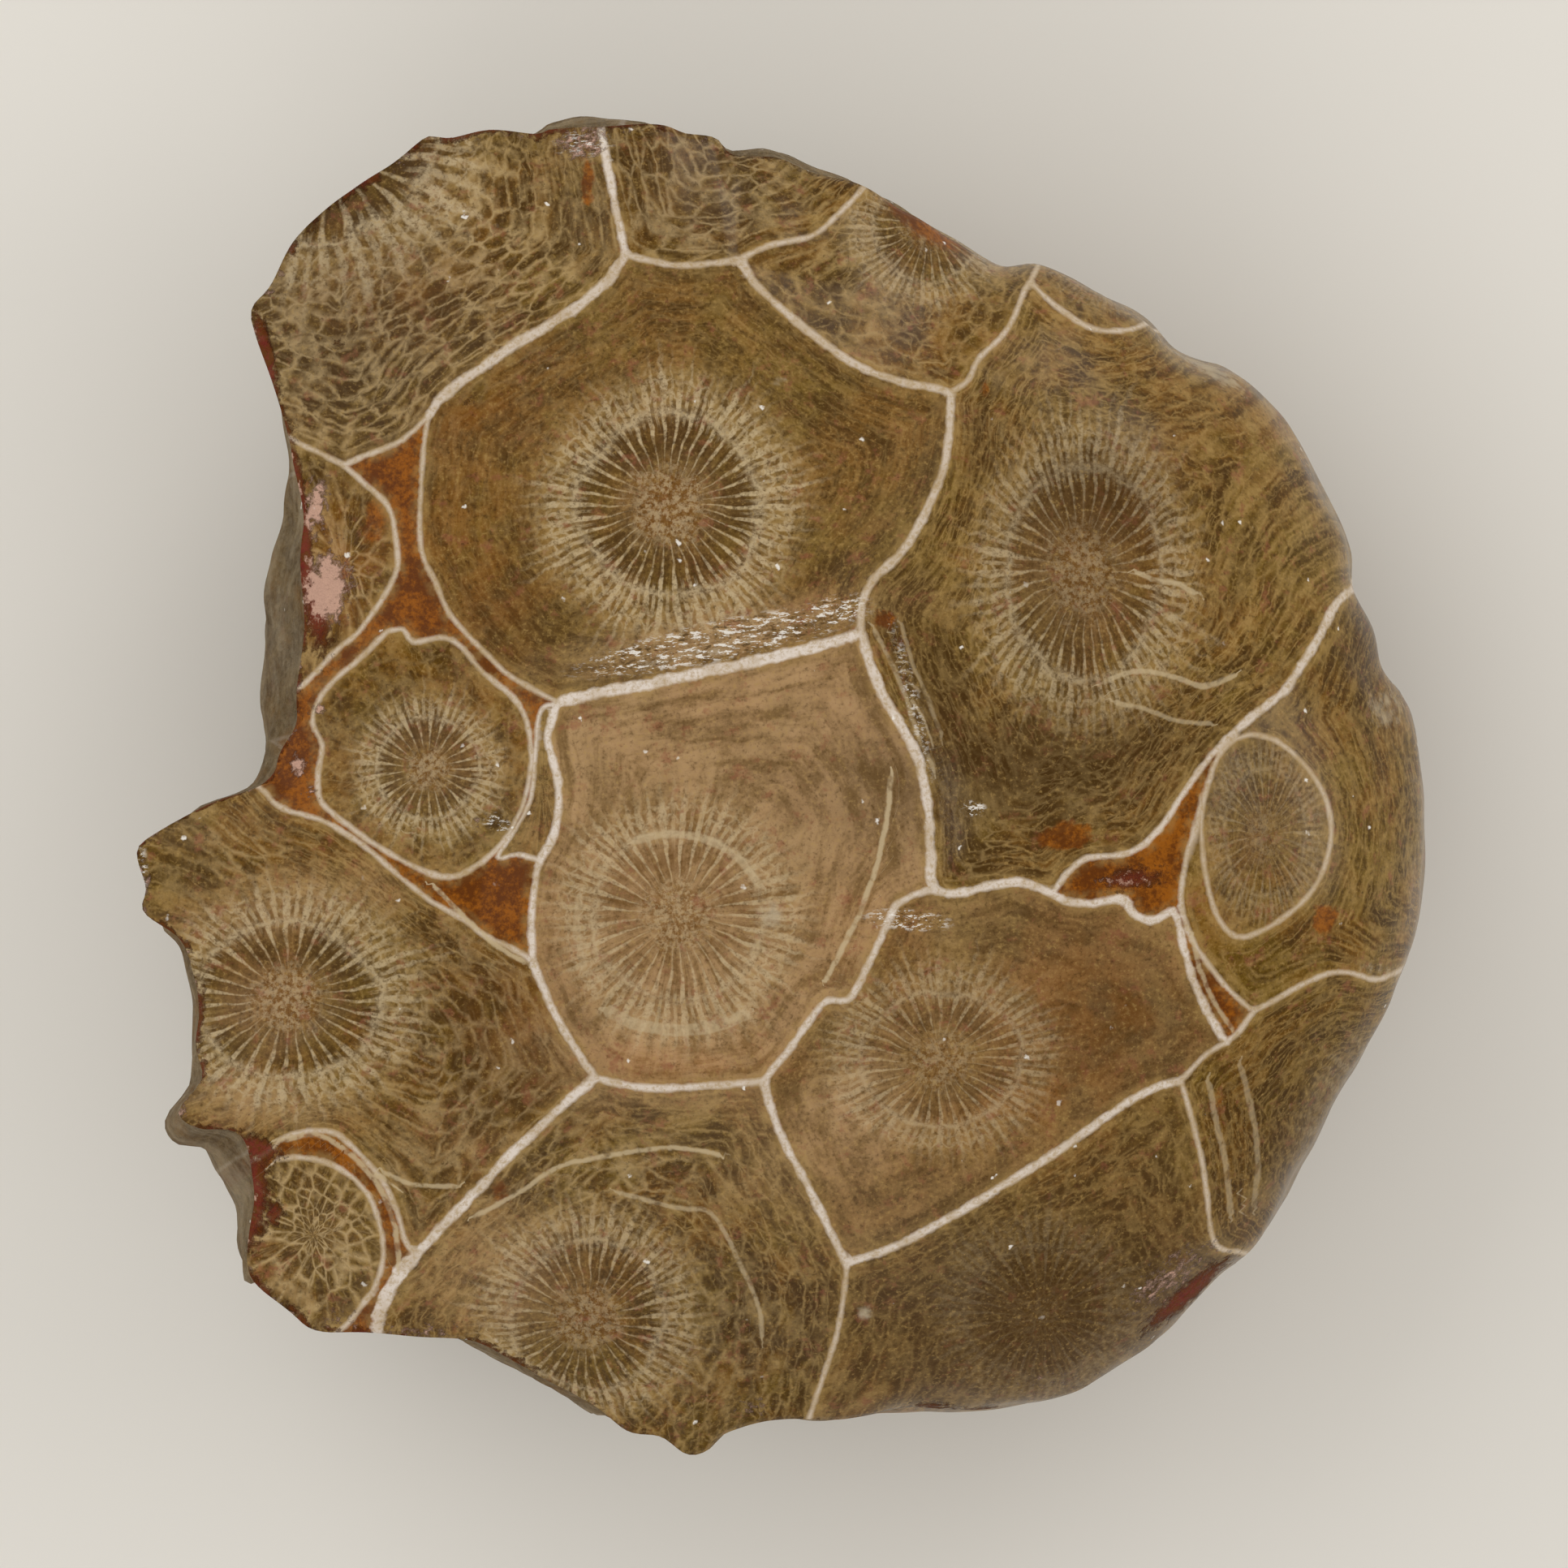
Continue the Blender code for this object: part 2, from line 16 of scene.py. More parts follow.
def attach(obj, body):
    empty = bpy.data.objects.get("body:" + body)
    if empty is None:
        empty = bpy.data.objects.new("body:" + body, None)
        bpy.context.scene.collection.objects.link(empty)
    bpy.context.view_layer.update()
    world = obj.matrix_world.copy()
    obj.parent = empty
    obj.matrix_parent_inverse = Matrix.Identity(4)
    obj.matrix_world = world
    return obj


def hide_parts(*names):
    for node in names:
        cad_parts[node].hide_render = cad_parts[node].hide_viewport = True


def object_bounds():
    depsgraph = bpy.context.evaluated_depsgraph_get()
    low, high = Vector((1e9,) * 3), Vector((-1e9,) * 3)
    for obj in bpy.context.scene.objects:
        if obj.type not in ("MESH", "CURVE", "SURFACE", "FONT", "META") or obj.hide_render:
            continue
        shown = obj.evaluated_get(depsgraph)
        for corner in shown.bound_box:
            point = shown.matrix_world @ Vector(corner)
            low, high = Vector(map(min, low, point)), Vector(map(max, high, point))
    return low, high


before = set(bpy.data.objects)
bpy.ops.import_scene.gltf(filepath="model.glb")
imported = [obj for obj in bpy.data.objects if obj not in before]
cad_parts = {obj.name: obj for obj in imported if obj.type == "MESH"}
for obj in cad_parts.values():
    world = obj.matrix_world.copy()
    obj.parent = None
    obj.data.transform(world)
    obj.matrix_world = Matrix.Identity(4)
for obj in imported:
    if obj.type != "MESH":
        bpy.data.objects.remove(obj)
cad_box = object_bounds()

MM = 0.001

# Driving sizes, in millimetres. PIXEL is the real size of one photograph pixel at the stone's edge.
# SPOT_SHARE is the ground spot's radius as a share of the stone's, and WORN_SPAN is how many degrees
# each way the outline is evened out over towards the base.
PIXEL = 0.026
THICKNESS = 21.0
SPOT_SHARE = 0.42
WORN_SPAN = 14

# The place in the photograph that the loft's axis passes through, in pixels.
AXIS_PX = (965, 960)

# Powers that bend the section's curves: the worn dome, the gentle slope to a broken rim, how near the
# rim its bulges stay, the side down to the belly, its scoop, the waist, the tuck and the foot below it.
DOME_POWER = 0.77
SLOPE_POWER = 2.2
RIM_POWER = 5
BELLY_POWER = 1.5
SCOOP_POWER = 1.2
WAIST_POWER = 0.6
TUCK_POWER = 0.8
FOOT_POWER = 0.9

# How much of the rim's bulges is worn off below it, and the setback in mm at which a ledge keeps its own.
BULGE_WEAR = 0.7
LEDGE_SETBACK = 0.8

# Lumps on the sides, in mm: their height on the worn and the broken side, how far they stay below the
# top, over what drop they set in there, and over what height they die out above the ground.
WORN_LUMP = 0.12
BROKEN_LUMP = 0.30
LUMP_CLEARANCE = 3.5
LUMP_ONSET = 3
LUMP_FADE = 2

# The share of the side over which the face's relief dies out.
RELIEF_FADE = 0.12

# The points that a section is first drawn with, and the bearings that the worn outline is evened over.
SECTION_STEPS = 200
WORN_STEPS = 15

# Mesh fineness: spokes round the axis, and rings over the face, the side and the base.
SPOKES = 640
FACE_RINGS = 96
SIDE_RINGS = 42
BASE_RINGS = 6

# Cells are kept in layers, and carried on past the edge this many times as far from the axis. They
# narrow downwards by this share for each millimetre below the rim.
LAYERS = 4
SIDE_REACH = 1.8
GROWTH_TAPER = 0.022

# How far a vein reaches and over what drop below the rim the stains fade, in mm, the ring's usual
# radius in pixels, the number that the septa are stored as a share of, how many of the mesh's rings the
# rim's crust spans, and how far in mm the dressed stone stays inside its solid's box.
VEIN_REACH = 0.45
STAIN_DROP = 1.6
USUAL_RING_PX = 110
MOST_SEPTA = 50
RIM_RINGS = 1.6
FIT_MARGIN = 0.02

# Distances in mm that stand for no cell and no vein near a point, how sharply soft patches fall off, and
# how soon down the side the broken stone shows fully.
NO_CELL = 50
NO_VEIN = 9
PATCH_FALLOFF = 0.7
BROKEN_ONSET = 14

# The polish: how much light the face throws back, its roughness and how that varies, and what the raw
# stone and the chalky, painted-glare patches add to it. Then the heights of the bumps, in mm.
SPECULAR = 0.09
FACE_ROUGHNESS = 0.16
ROUGHNESS_SPREAD = 0.14
RAW_ROUGHNESS = 0.50
CHALK_AND_GLARE_ROUGHNESS = 0.20
GRAIN_BUMP = 0.0015
PATCHY_BUMP = 0.004
CRUST_BUMP = 0.22
PIT_BUMP = 0.10

# The camera and the light, in metres: the camera's height, the height at which the frame's width is
# measured, and each softbox's place, size and power.
CAMERA_HEIGHT = 1.0
RIM_HEIGHT = 0.013
FRAME_WIDTH = 0.0502
SOFTBOXES = [
    ("key", (-0.62, 0.40, 0.54), 1.00, 3.2),
    ("east", (0.80, 0.05, 0.24), 0.30, 1.2),
    ("north_east", (0.45, 0.72, 0.24), 0.30, 1.2),
    ("south", (-0.10, -0.75, 0.50), 0.80, 1.9),
]
WORLD_STRENGTH = 0.68
FLOOR_HALF = 0.9
FLOOR_GAP = 0.00005

# The stone's outline from above, in photograph pixels, clockwise from the upper left corner.
OUTLINE_PX = [
    (519, 163), (533, 160), (555, 162), (590, 154), (612, 152), (660, 154), (675, 148), (727, 144),
    (810, 144), (845, 155), (883, 158), (903, 177), (957, 178), (1000, 199), (1064, 219), (1110, 243),
    (1183, 288), (1216, 309), (1242, 319), (1288, 317), (1340, 342), (1374, 361), (1420, 391),
    (1450, 422), (1480, 437), (1520, 448), (1550, 465), (1588, 505), (1612, 543), (1644, 612),
    (1668, 665), (1673, 720), (1700, 772), (1707, 818), (1735, 850), (1750, 880), (1757, 940),
    (1762, 1012), (1757, 1130), (1735, 1197), (1683, 1300), (1652, 1350), (1624, 1410), (1600, 1452),
    (1572, 1511), (1545, 1545), (1505, 1572), (1446, 1637), (1407, 1672), (1360, 1700), (1321, 1719),
    (1230, 1738), (1130, 1739), (1018, 1748), (960, 1746), (900, 1762), (876, 1785), (846, 1791),
    (813, 1774), (770, 1768), (724, 1732), (658, 1700), (586, 1658), (500, 1649), (421, 1644),
    (359, 1645), (322, 1622), (293, 1584), (288, 1532), (289, 1479), (268, 1435), (246, 1413),
    (214, 1406), (197, 1385), (203, 1366), (227, 1338), (234, 1300), (243, 1242), (234, 1190),
    (219, 1153), (175, 1120), (178, 1090), (167, 1045), (191, 1022), (257, 986), (318, 960),
    (328, 905), (325, 830), (328, 760), (333, 690), (345, 625), (352, 565), (339, 484), (312, 405),
    (308, 373), (331, 345), (359, 291), (400, 250), (440, 220), (478, 196),
]

# How the side differs round the stone. Each row is a bearing in degrees (0 at +X, counterclockwise),
# the rim's height and the widest level's height in mm, how sharp the rim is (0 rounded, 1 broken),
# and how far the broken side is scooped in, in mm.
SIDE_TABLE = [
    (0, 10.6, 9.0, 0.00, 0.0),
    (30, 11.2, 9.4, 0.00, 0.0),
    (60, 12.8, 9.6, 0.15, 0.1),
    (85, 15.2, 9.8, 0.65, 0.4),
    (105, 16.6, 9.8, 0.95, 0.6),
    (135, 17.4, 9.6, 1.00, 0.9),
    (160, 17.9, 9.0, 1.00, 0.9),
    (185, 18.1, 10.2, 1.00, 1.2),
    (205, 17.8, 10.0, 1.00, 1.3),
    (225, 17.0, 9.6, 1.00, 1.0),
    (250, 15.8, 9.6, 0.85, 0.7),
    (268, 14.4, 9.4, 0.60, 0.4),
    (290, 12.0, 9.2, 0.15, 0.1),
    (330, 10.8, 9.0, 0.00, 0.0),
]

# Where the body stands out past the polished face's rim: the bearing and the setback in mm.
SETBACK_TABLE = [
    (0, 0.10), (60, 0.12), (95, 0.22), (142, 0.16), (146, 0.35), (152, 0.95), (162, 1.35), (172, 1.10),
    (178, 0.45), (182, 0.12), (203, 0.14), (208, 0.75), (213, 1.30), (218, 0.85), (222, 0.60), (227, 0.85),
    (231, 0.25), (245, 0.20), (275, 0.14), (320, 0.10),
]

# Conchoidal scars on the broken side: bearing, height, scar radius and depth, in degrees and mm.
SCARS = [
    (96, 5.0, 7.5, 0.8), (118, 9.5, 6.5, 1.1), (136, 12.8, 4.0, 0.7), (141, 5.5, 5.6, 1.1),
    (166, 3.6, 5.6, 1.2), (193, 12.4, 4.4, 1.1), (198, 5.4, 5.2, 1.1), (216, 4.2, 5.0, 1.0),
    (236, 8.5, 6.6, 1.3), (256, 6.0, 6.0, 1.0), (278, 4.8, 7.0, 0.8),
]

# The walls between the coral's cells, in photograph pixels. Each runs from one junction to another,
# and those that leave the stone are carried on past its edge.
WALLS_PX = {
    "crown-north": [(772, 312), (800, 319), (835, 325), (875, 323), (912, 318)],
    "crown-north_east": [
        (912, 318), (930, 345), (952, 367), (985, 396), (1022, 425), (1065, 452), (1110, 468),
        (1148, 475), (1172, 481),
    ],
    "crown-east": [
        (1172, 481), (1171, 525), (1164, 573), (1150, 610), (1117, 672), (1078, 710), (1063, 742),
        (1062, 777),
    ],
    "crown-middle": [
        (1062, 777), (1010, 793), (940, 810), (870, 824), (800, 840), (740, 850), (690, 862),
    ],
    "crown-infill": [
        (690, 862), (655, 843), (625, 825), (600, 800), (575, 775), (555, 750), (540, 715), (525, 685),
        (520, 650), (522, 600), (525, 550), (530, 512),
    ],
    "crown-north_west": [
        (530, 512), (547, 488), (572, 468), (605, 445), (640, 421), (680, 398), (720, 371), (750, 345),
        (772, 312),
    ],
    "north_west-north": [
        (772, 312), (768, 290), (760, 250), (752, 210), (746, 180), (742, 150), (740, 90), (735, 0),
    ],
    "north_west-infill": [(530, 512), (510, 531), (490, 545), (455, 558), (427, 571)],
    "north_west-shard": [(427, 571), (398, 556), (372, 544), (350, 532), (280, 510), (150, 480)],
    "shard-infill": [
        (427, 571), (460, 600), (482, 622), (490, 655), (493, 697), (480, 725), (462, 752), (445, 775),
        (415, 800), (395, 822), (368, 845), (300, 880), (180, 900),
    ],
    "north-north_east": [
        (912, 318), (950, 300), (1000, 289), (1030, 265), (1070, 222), (1100, 170), (1120, 60),
    ],
    "north_east-east": [
        (1172, 481), (1194, 466), (1206, 440), (1235, 412), (1252, 385), (1262, 358), (1271, 342),
    ],
    "north_east-rim_bud": [(1271, 342), (1283, 318), (1300, 260), (1320, 170)],
    "east-rim_bud": [
        (1271, 342), (1290, 362), (1320, 386), (1350, 402), (1385, 403), (1418, 392), (1480, 350),
        (1540, 290),
    ],
    "east-far_east": [
        (1508, 910), (1530, 890), (1555, 870), (1585, 845), (1605, 815), (1630, 775), (1645, 745),
        (1670, 722), (1740, 680), (1850, 640),
    ],
    "east-infill": [
        (1297, 1096), (1315, 1070), (1340, 1052), (1370, 1050), (1400, 1042), (1430, 1015),
        (1450, 985), (1470, 955), (1490, 930), (1508, 910),
    ],
    "east-low_east": [
        (1148, 1090), (1180, 1096), (1220, 1086), (1255, 1082), (1280, 1089), (1297, 1096),
    ],
    "low_east-infill": [
        (1297, 1096), (1315, 1106), (1345, 1108), (1385, 1102), (1395, 1120), (1420, 1130),
        (1447, 1118), (1458, 1160), (1470, 1200), (1485, 1235), (1500, 1262), (1512, 1279),
    ],
    "middle-east": [
        (1062, 777), (1075, 820), (1095, 865), (1120, 905), (1136, 945), (1145, 1000), (1147, 1050),
        (1148, 1090),
    ],
    "middle-low_east": [
        (1148, 1090), (1128, 1097), (1105, 1110), (1093, 1135), (1078, 1168), (1060, 1205),
        (1045, 1226), (1020, 1227), (1000, 1250), (975, 1285), (942, 1325),
    ],
    "middle-south": [(942, 1325), (920, 1328), (880, 1331), (830, 1334), (780, 1332), (737, 1322)],
    "middle-west": [(737, 1322), (715, 1292), (693, 1255), (674, 1215), (659, 1178)],
    "middle-infill": [(659, 1178), (658, 1130), (661, 1090), (668, 1055)],
    "middle-sliver": [
        (668, 1055), (683, 1030), (690, 1000), (691, 960), (683, 930), (678, 905), (682, 885),
        (690, 862),
    ],
    "sliver-infill": [
        (690, 862), (670, 870), (664, 900), (662, 935), (656, 982), (636, 1020), (616, 1052),
        (640, 1048), (668, 1055),
    ],
    "west-infill": [
        (659, 1178), (630, 1161), (600, 1147), (570, 1125), (530, 1102), (490, 1070), (450, 1036),
        (400, 1006), (350, 991), (318, 962), (250, 920), (150, 880),
    ],
    "south-west": [
        (737, 1322), (700, 1352), (662, 1387), (630, 1417), (600, 1450), (570, 1482), (545, 1508),
        (515, 1540),
    ],
    "west-south_bud": [
        (515, 1540), (503, 1525), (493, 1490), (478, 1455), (455, 1425), (430, 1400), (410, 1388),
        (380, 1388), (350, 1397), (330, 1416), (280, 1440), (180, 1500),
    ],
    "south-low_east": [(942, 1325), (955, 1370), (975, 1415), (1000, 1460), (1022, 1507), (1045, 1550)],
    "south-heel": [
        (1045, 1550), (1041, 1590), (1032, 1640), (1016, 1690), (998, 1745), (975, 1820), (960, 1920),
    ],
    "south-infill": [(515, 1540), (492, 1565), (472, 1600), (466, 1645), (460, 1720), (430, 1850)],
    "low_east-heel": [
        (1045, 1550), (1100, 1531), (1150, 1505), (1200, 1477), (1250, 1446), (1300, 1415),
        (1340, 1386), (1385, 1355), (1420, 1336), (1455, 1326),
    ],
    "low_east-flank": [(1455, 1326), (1470, 1310), (1490, 1291), (1512, 1279)],
    "heel-flank": [
        (1455, 1326), (1467, 1365), (1481, 1420), (1489, 1470), (1494, 1512), (1506, 1535),
        (1545, 1545), (1600, 1600), (1680, 1700),
    ],
    "flank-infill": [(1512, 1279), (1530, 1262), (1545, 1241)],
    "far_east-flank": [
        (1545, 1241), (1570, 1228), (1600, 1211), (1640, 1194), (1670, 1195), (1700, 1203),
        (1740, 1188), (1830, 1160), (1930, 1130),
    ],
    "far_east-infill": [
        (1545, 1241), (1515, 1215), (1490, 1185), (1468, 1150), (1455, 1110), (1458, 1070),
        (1466, 1035), (1478, 990), (1492, 950), (1508, 910),
    ],
    "south_bud-infill": [
        (345, 1422), (372, 1420), (402, 1425), (432, 1440), (456, 1465), (470, 1500), (475, 1540),
        (466, 1575), (450, 1600), (430, 1626), (408, 1648), (380, 1720), (340, 1800),
    ],
    "west_bud": [
        (480, 775), (500, 772), (512, 788), (545, 782), (570, 792), (598, 825), (635, 855), (652, 885),
        (658, 930), (650, 980), (632, 1020), (612, 1045), (590, 1062), (560, 1076), (525, 1068),
        (480, 1045), (440, 1018), (400, 985), (395, 950), (400, 915), (388, 885), (398, 855),
        (420, 830), (450, 805), (480, 775),
    ],
    "east_bud": [
        (1545, 900), (1575, 910), (1605, 935), (1630, 970), (1641, 1010), (1637, 1050), (1620, 1090),
        (1590, 1120), (1555, 1142), (1525, 1150), (1503, 1130), (1490, 1095), (1482, 1050),
        (1480, 1005), (1487, 965), (1500, 930), (1520, 908), (1545, 900),
    ],
}

# Each cell of the coral: the walls round it in order, the points past the stone's edge that close it,
# and how deep its dish is, in mm.
CELLS = {
    "crown": (
        ["crown-north", "crown-north_east", "crown-east", "crown-middle", "crown-infill",
         "crown-north_west"],
        [], 0.62,
    ),
    "north_west": (
        ["north_west-shard", "north_west-infill", "crown-north_west", "north_west-north"],
        [(600, -120), (350, -150), (120, 0), (60, 250)], 0.42,
    ),
    "north": (
        ["north_west-north", "crown-north", "north-north_east"],
        [(1100, -60), (900, -120)], 0.36,
    ),
    "north_east": (
        ["north-north_east", "crown-north_east", "north_east-east", "north_east-rim_bud"],
        [(1300, 60), (1200, 0)], 0.42,
    ),
    "rim_bud": (["north_east-rim_bud", "east-rim_bud"], [(1560, 200), (1450, 130)], 0.20),
    "east": (
        ["east-far_east", "east-infill", "east-low_east", "middle-east", "crown-east", "north_east-east",
         "east-rim_bud"],
        [(1700, 330), (1850, 500)], 0.66,
    ),
    "middle": (
        ["crown-middle", "middle-east", "middle-low_east", "middle-south", "middle-west", "middle-infill",
         "middle-sliver"],
        [], 0.16,
    ),
    "low_east": (
        ["middle-low_east", "east-low_east", "low_east-infill", "low_east-flank", "low_east-heel",
         "south-low_east"],
        [], 0.34,
    ),
    "heel": (
        ["south-heel", "low_east-heel", "heel-flank"],
        [(1550, 1880), (1300, 1980), (1100, 1990)], 0.34,
    ),
    "flank": (
        ["heel-flank", "low_east-flank", "flank-infill", "far_east-flank"],
        [(1950, 1350), (1850, 1550)], 0.24,
    ),
    "far_east": (
        ["far_east-flank", "far_east-infill", "east-far_east"],
        [(1950, 720), (1990, 900)], 0.24,
    ),
    "east_bud": (["east_bud"], [], 0.22),
    "west_bud": (["west_bud"], [], 0.40),
    "west": (
        ["west-south_bud", "south-west", "middle-west", "west-infill"],
        [(50, 1000), (-20, 1250), (60, 1450)], 0.50,
    ),
    "south_bud": (["south_bud-infill"], [(200, 1760), (130, 1620), (200, 1500)], 0.30),
    "south": (
        ["south-infill", "south-west", "middle-south", "south-low_east", "south-heel"],
        [(800, 1960), (600, 1950)], 0.46,
    ),
    "shard": (["north_west-shard", "shard-infill"], [(100, 700)], 0.20),
    "sliver": (["middle-sliver", "sliver-infill"], [], 0.12),
}

# The middle cell stands proud of its neighbours on a low step, in mm.
STEP_CELL = "middle"
STEP_HEIGHT = 0.42
STEP_WIDTH = 1.9
DISH_WIDTH = 1.7

# How each cell looks: the middle and the two radii of its ring in photograph pixels, the number of
# septa, how clearly the septa and the net of tissue show, how far a milky film and a painted sheen
# hide them, and its layer, which keeps cells that touch apart.
LOOKS = {
    "crown": ((827, 620), (118, 118), 38, 1.0, 0.35, 0.1, 0),
    "north_west": ((393, 156), (150, 150), 25, 1.0, 1.0, 0.05, 1),
    "north": ((900, 40), (110, 110), 36, 0.0, 0.9, 0.0, 2),
    "north_east": ((1145, 275), (72, 72), 30, 0.7, 0.9, 0.05, 1),
    "rim_bud": ((1370, 300), (60, 60), 30, 0.3, 0.7, 0.0, 0),
    "east": ((1335, 702), (100, 142), 36, 0.8, 0.8, 0.05, 2),
    "middle": ((838, 1125), (110, 110), 33, 0.8, 0.1, 0.72, 1),
    "low_east": ((1160, 1298), (102, 86), 32, 0.6, 0.25, 0.3, 0),
    "heel": ((1280, 1612), (92, 90), 30, 0.3, 0.7, 0.1, 1),
    "flank": ((1760, 1420), (120, 120), 30, 0.3, 0.7, 0.0, 2),
    "far_east": ((1850, 1000), (80, 160), 30, 0.2, 0.7, 0.0, 1),
    "east_bud": ((1560, 1022), (54, 82), 30, 0.35, 0.6, 0.05, 3),
    "west_bud": ((530, 945), (66, 66), 25, 0.9, 0.6, 0.0, 2),
    "west": ((358, 1225), (122, 100), 31, 0.9, 0.7, 0.05, 0),
    "south_bud": ((390, 1515), (60, 64), 14, 0.0, 1.0, 0.0, 1),
    "south": ((725, 1615), (100, 98), 33, 0.75, 0.8, 0.0, 2),
    "shard": ((425, 690), (40, 60), 20, 0.0, 1.0, 0.0, 3),
    "sliver": ((672, 960), (20, 60), 20, 0.0, 0.6, 0.1, 3),
}

# A bud that grows inside another cell takes its place there.
BUD_IN = {"far_east": "east_bud"}

# Half the drawn width of each wall in mm, and how white it is. The rest have the plain values.
PLAIN_WALL = (0.075, 0.60)
WALL_LOOKS = {
    "crown-north": (0.10, 0.60),
    "crown-north_east": (0.12, 0.66),
    "crown-east": (0.12, 0.66),
    "crown-middle": (0.18, 1.00),
    "crown-infill": (0.07, 0.55),
    "crown-north_west": (0.16, 0.75),
    "north_west-north": (0.12, 0.95),
    "middle-east": (0.15, 0.90),
    "middle-low_east": (0.10, 0.85),
    "middle-south": (0.11, 0.90),
    "middle-west": (0.11, 0.90),
    "middle-infill": (0.11, 0.95),
    "middle-sliver": (0.12, 1.00),
    "east-low_east": (0.13, 0.95),
    "low_east-infill": (0.12, 0.95),
    "east-far_east": (0.13, 0.80),
    "low_east-heel": (0.12, 0.90),
    "south-low_east": (0.12, 0.90),
    "south-west": (0.15, 1.00),
    "south-infill": (0.24, 1.00),
    "east-infill": (0.09, 0.80),
    "sliver-infill": (0.06, 0.85),
    "east_bud": (0.07, 0.45),
}

# Thin pale lines inside the cells: half width in mm, strength, and the line in pixels.
VEINS_PX = [
    (0.05, 0.45, [(1078, 773), (1097, 811), (1116, 854), (1130, 900), (1150, 940)]),
    (0.04, 0.35, [(1112, 769), (1124, 811), (1139, 846), (1160, 900)]),
    (0.06, 0.75, [
        (1020, 1200), (1043, 1154), (1062, 1115), (1078, 1070), (1089, 1027), (1096, 985), (1098, 955),
    ]),
    (0.17, 0.45, [(754, 1241), (781, 1254), (819, 1262), (857, 1262), (895, 1254), (918, 1245)]),
    (0.10, 0.45, [(785, 1032), (819, 1023), (853, 1025), (887, 1036), (914, 1055), (937, 1085)]),
    (0.10, 0.30, [(716, 1101), (713, 1146), (724, 1192)]),
    (0.05, 0.70, [
        (588, 1492), (638, 1465), (691, 1431), (740, 1420), (806, 1409), (852, 1409), (887, 1417),
    ]),
    (0.05, 0.50, [
        (768, 1463), (837, 1482), (875, 1486), (895, 1513), (915, 1555), (935, 1600), (941, 1640),
    ]),
    (0.05, 0.65, [(476, 1438), (507, 1452), (538, 1456), (565, 1454)]),
    (0.05, 0.75, [(540, 1090), (563, 1112), (590, 1138), (615, 1160), (650, 1180)]),
    (0.06, 0.60, [(1358, 838), (1385, 826), (1415, 824), (1450, 832), (1485, 842), (1520, 828)]),
    (0.05, 0.45, [(1375, 862), (1410, 870), (1450, 884), (1490, 888)]),
    (0.06, 0.60, [(1403, 704), (1425, 712), (1450, 716), (1472, 727)]),
    (0.06, 0.70, [
        (349, 1400), (390, 1392), (425, 1408), (455, 1436), (478, 1470), (490, 1510), (494, 1550),
    ]),
    (0.05, 0.60, [(1468, 1150), (1482, 1200), (1500, 1235), (1520, 1262)]),
    (0.07, 0.40, [(1490, 1330), (1500, 1380), (1512, 1430), (1518, 1490)]),
    (0.07, 0.35, [(1530, 1310), (1545, 1370), (1552, 1430), (1548, 1480)]),
]

# Soft patches, in pixels: middle, the two radii, its clockwise turn in degrees, and strength. Orange
# and warm ones stain the stone. Red and pink ones are crusts on it, and chalk-and-glare ones are pale
# chalky spots and painted glare. Painted-shade ones darken the tissue as painted shade, milk-and-sheen
# ones lay a milky film with a painted sheen over it, and coarse ones change its net. In glint ones the
# surface is pitted and carries painted glints.
ORANGE_PX = [
    ((1145, 266), (60, 24), 32, 1.0), ((726, 222), (9, 32), 0, 0.9), ((1216, 476), (9, 12), 0, 0.7),
    ((1312, 1026), (34, 17), -8, 1.0), ((1633, 1130), (16, 22), 10, 0.9),
    ((1090, 762), (22, 14), 10, 0.7), ((462, 640), (20, 40), 10, 0.7),
    ((618, 1462), (20, 15), 30, 0.7), ((1503, 1360), (9, 34), 0, 0.6),
    ((845, 1455), (48, 18), 5, 0.35), ((700, 1340), (26, 14), 40, 0.3),
    ((1500, 1010), (14, 60), 8, 0.35), ((1360, 1240), (90, 60), 10, 0.28),
    ((1300, 1340), (80, 50), 20, 0.2), ((565, 1112), (50, 16), 33, 0.6),
]
RED_PX = [
    ((370, 640), (15, 120), -7, 1.0), ((392, 745), (20, 70), -8, 0.8), ((362, 860), (14, 34), 20, 0.6),
    ((318, 1408), (34, 12), 15, 1.0), ((302, 1475), (32, 70), 8, 1.0), ((300, 1580), (18, 26), 0, 0.8),
    ((355, 1628), (50, 14), 25, 0.8), ((655, 1702), (130, 14), 27, 0.75),
    ((930, 178), (26, 9), 0, 1.0), ((760, 148), (60, 9), 0, 0.8), ((690, 152), (24, 8), 0, 0.8),
    ((1240, 1738), (70, 9), 3, 0.7), ((1150, 1730), (40, 8), 0, 0.6),
    ((1464, 1592), (80, 14), -40, 0.8), ((1395, 1078), (50, 18), -8, 0.7),
    ((330, 440), (12, 70), -12, 0.9), ((585, 494), (16, 10), 0, 0.5), ((419, 420), (8, 9), 0, 0.6),
    ((1600, 520), (14, 20), -30, 0.4), ((340, 1490), (14, 20), 0, 0.8), ((620, 742), (12, 9), 0, 0.4),
]
PINK_PX = [
    ((405, 720), (30, 44), 10, 1.0), ((1385, 1080), (46, 15), -8, 0.5), ((392, 620), (16, 40), 5, 0.8),
    ((720, 172), (36, 24), 0, 0.7), ((371, 940), (11, 14), 0, 0.9), ((398, 868), (12, 9), 0, 0.8),
    ((386, 972), (10, 9), 0, 0.8), ((296, 1450), (20, 44), 0, 0.75), ((420, 1620), (26, 22), 0, 0.5),
    ((520, 1635), (60, 14), 0, 0.5), ((930, 1730), (50, 20), 0, 0.4),
    ((1300, 1700), (90, 22), -8, 0.4), ((1440, 1570), (90, 26), -40, 0.55),
    ((215, 1390), (22, 22), 0, 0.6), ((178, 1070), (14, 40), 0, 0.4), ((600, 1010), (22, 16), 0, 0.45),
]
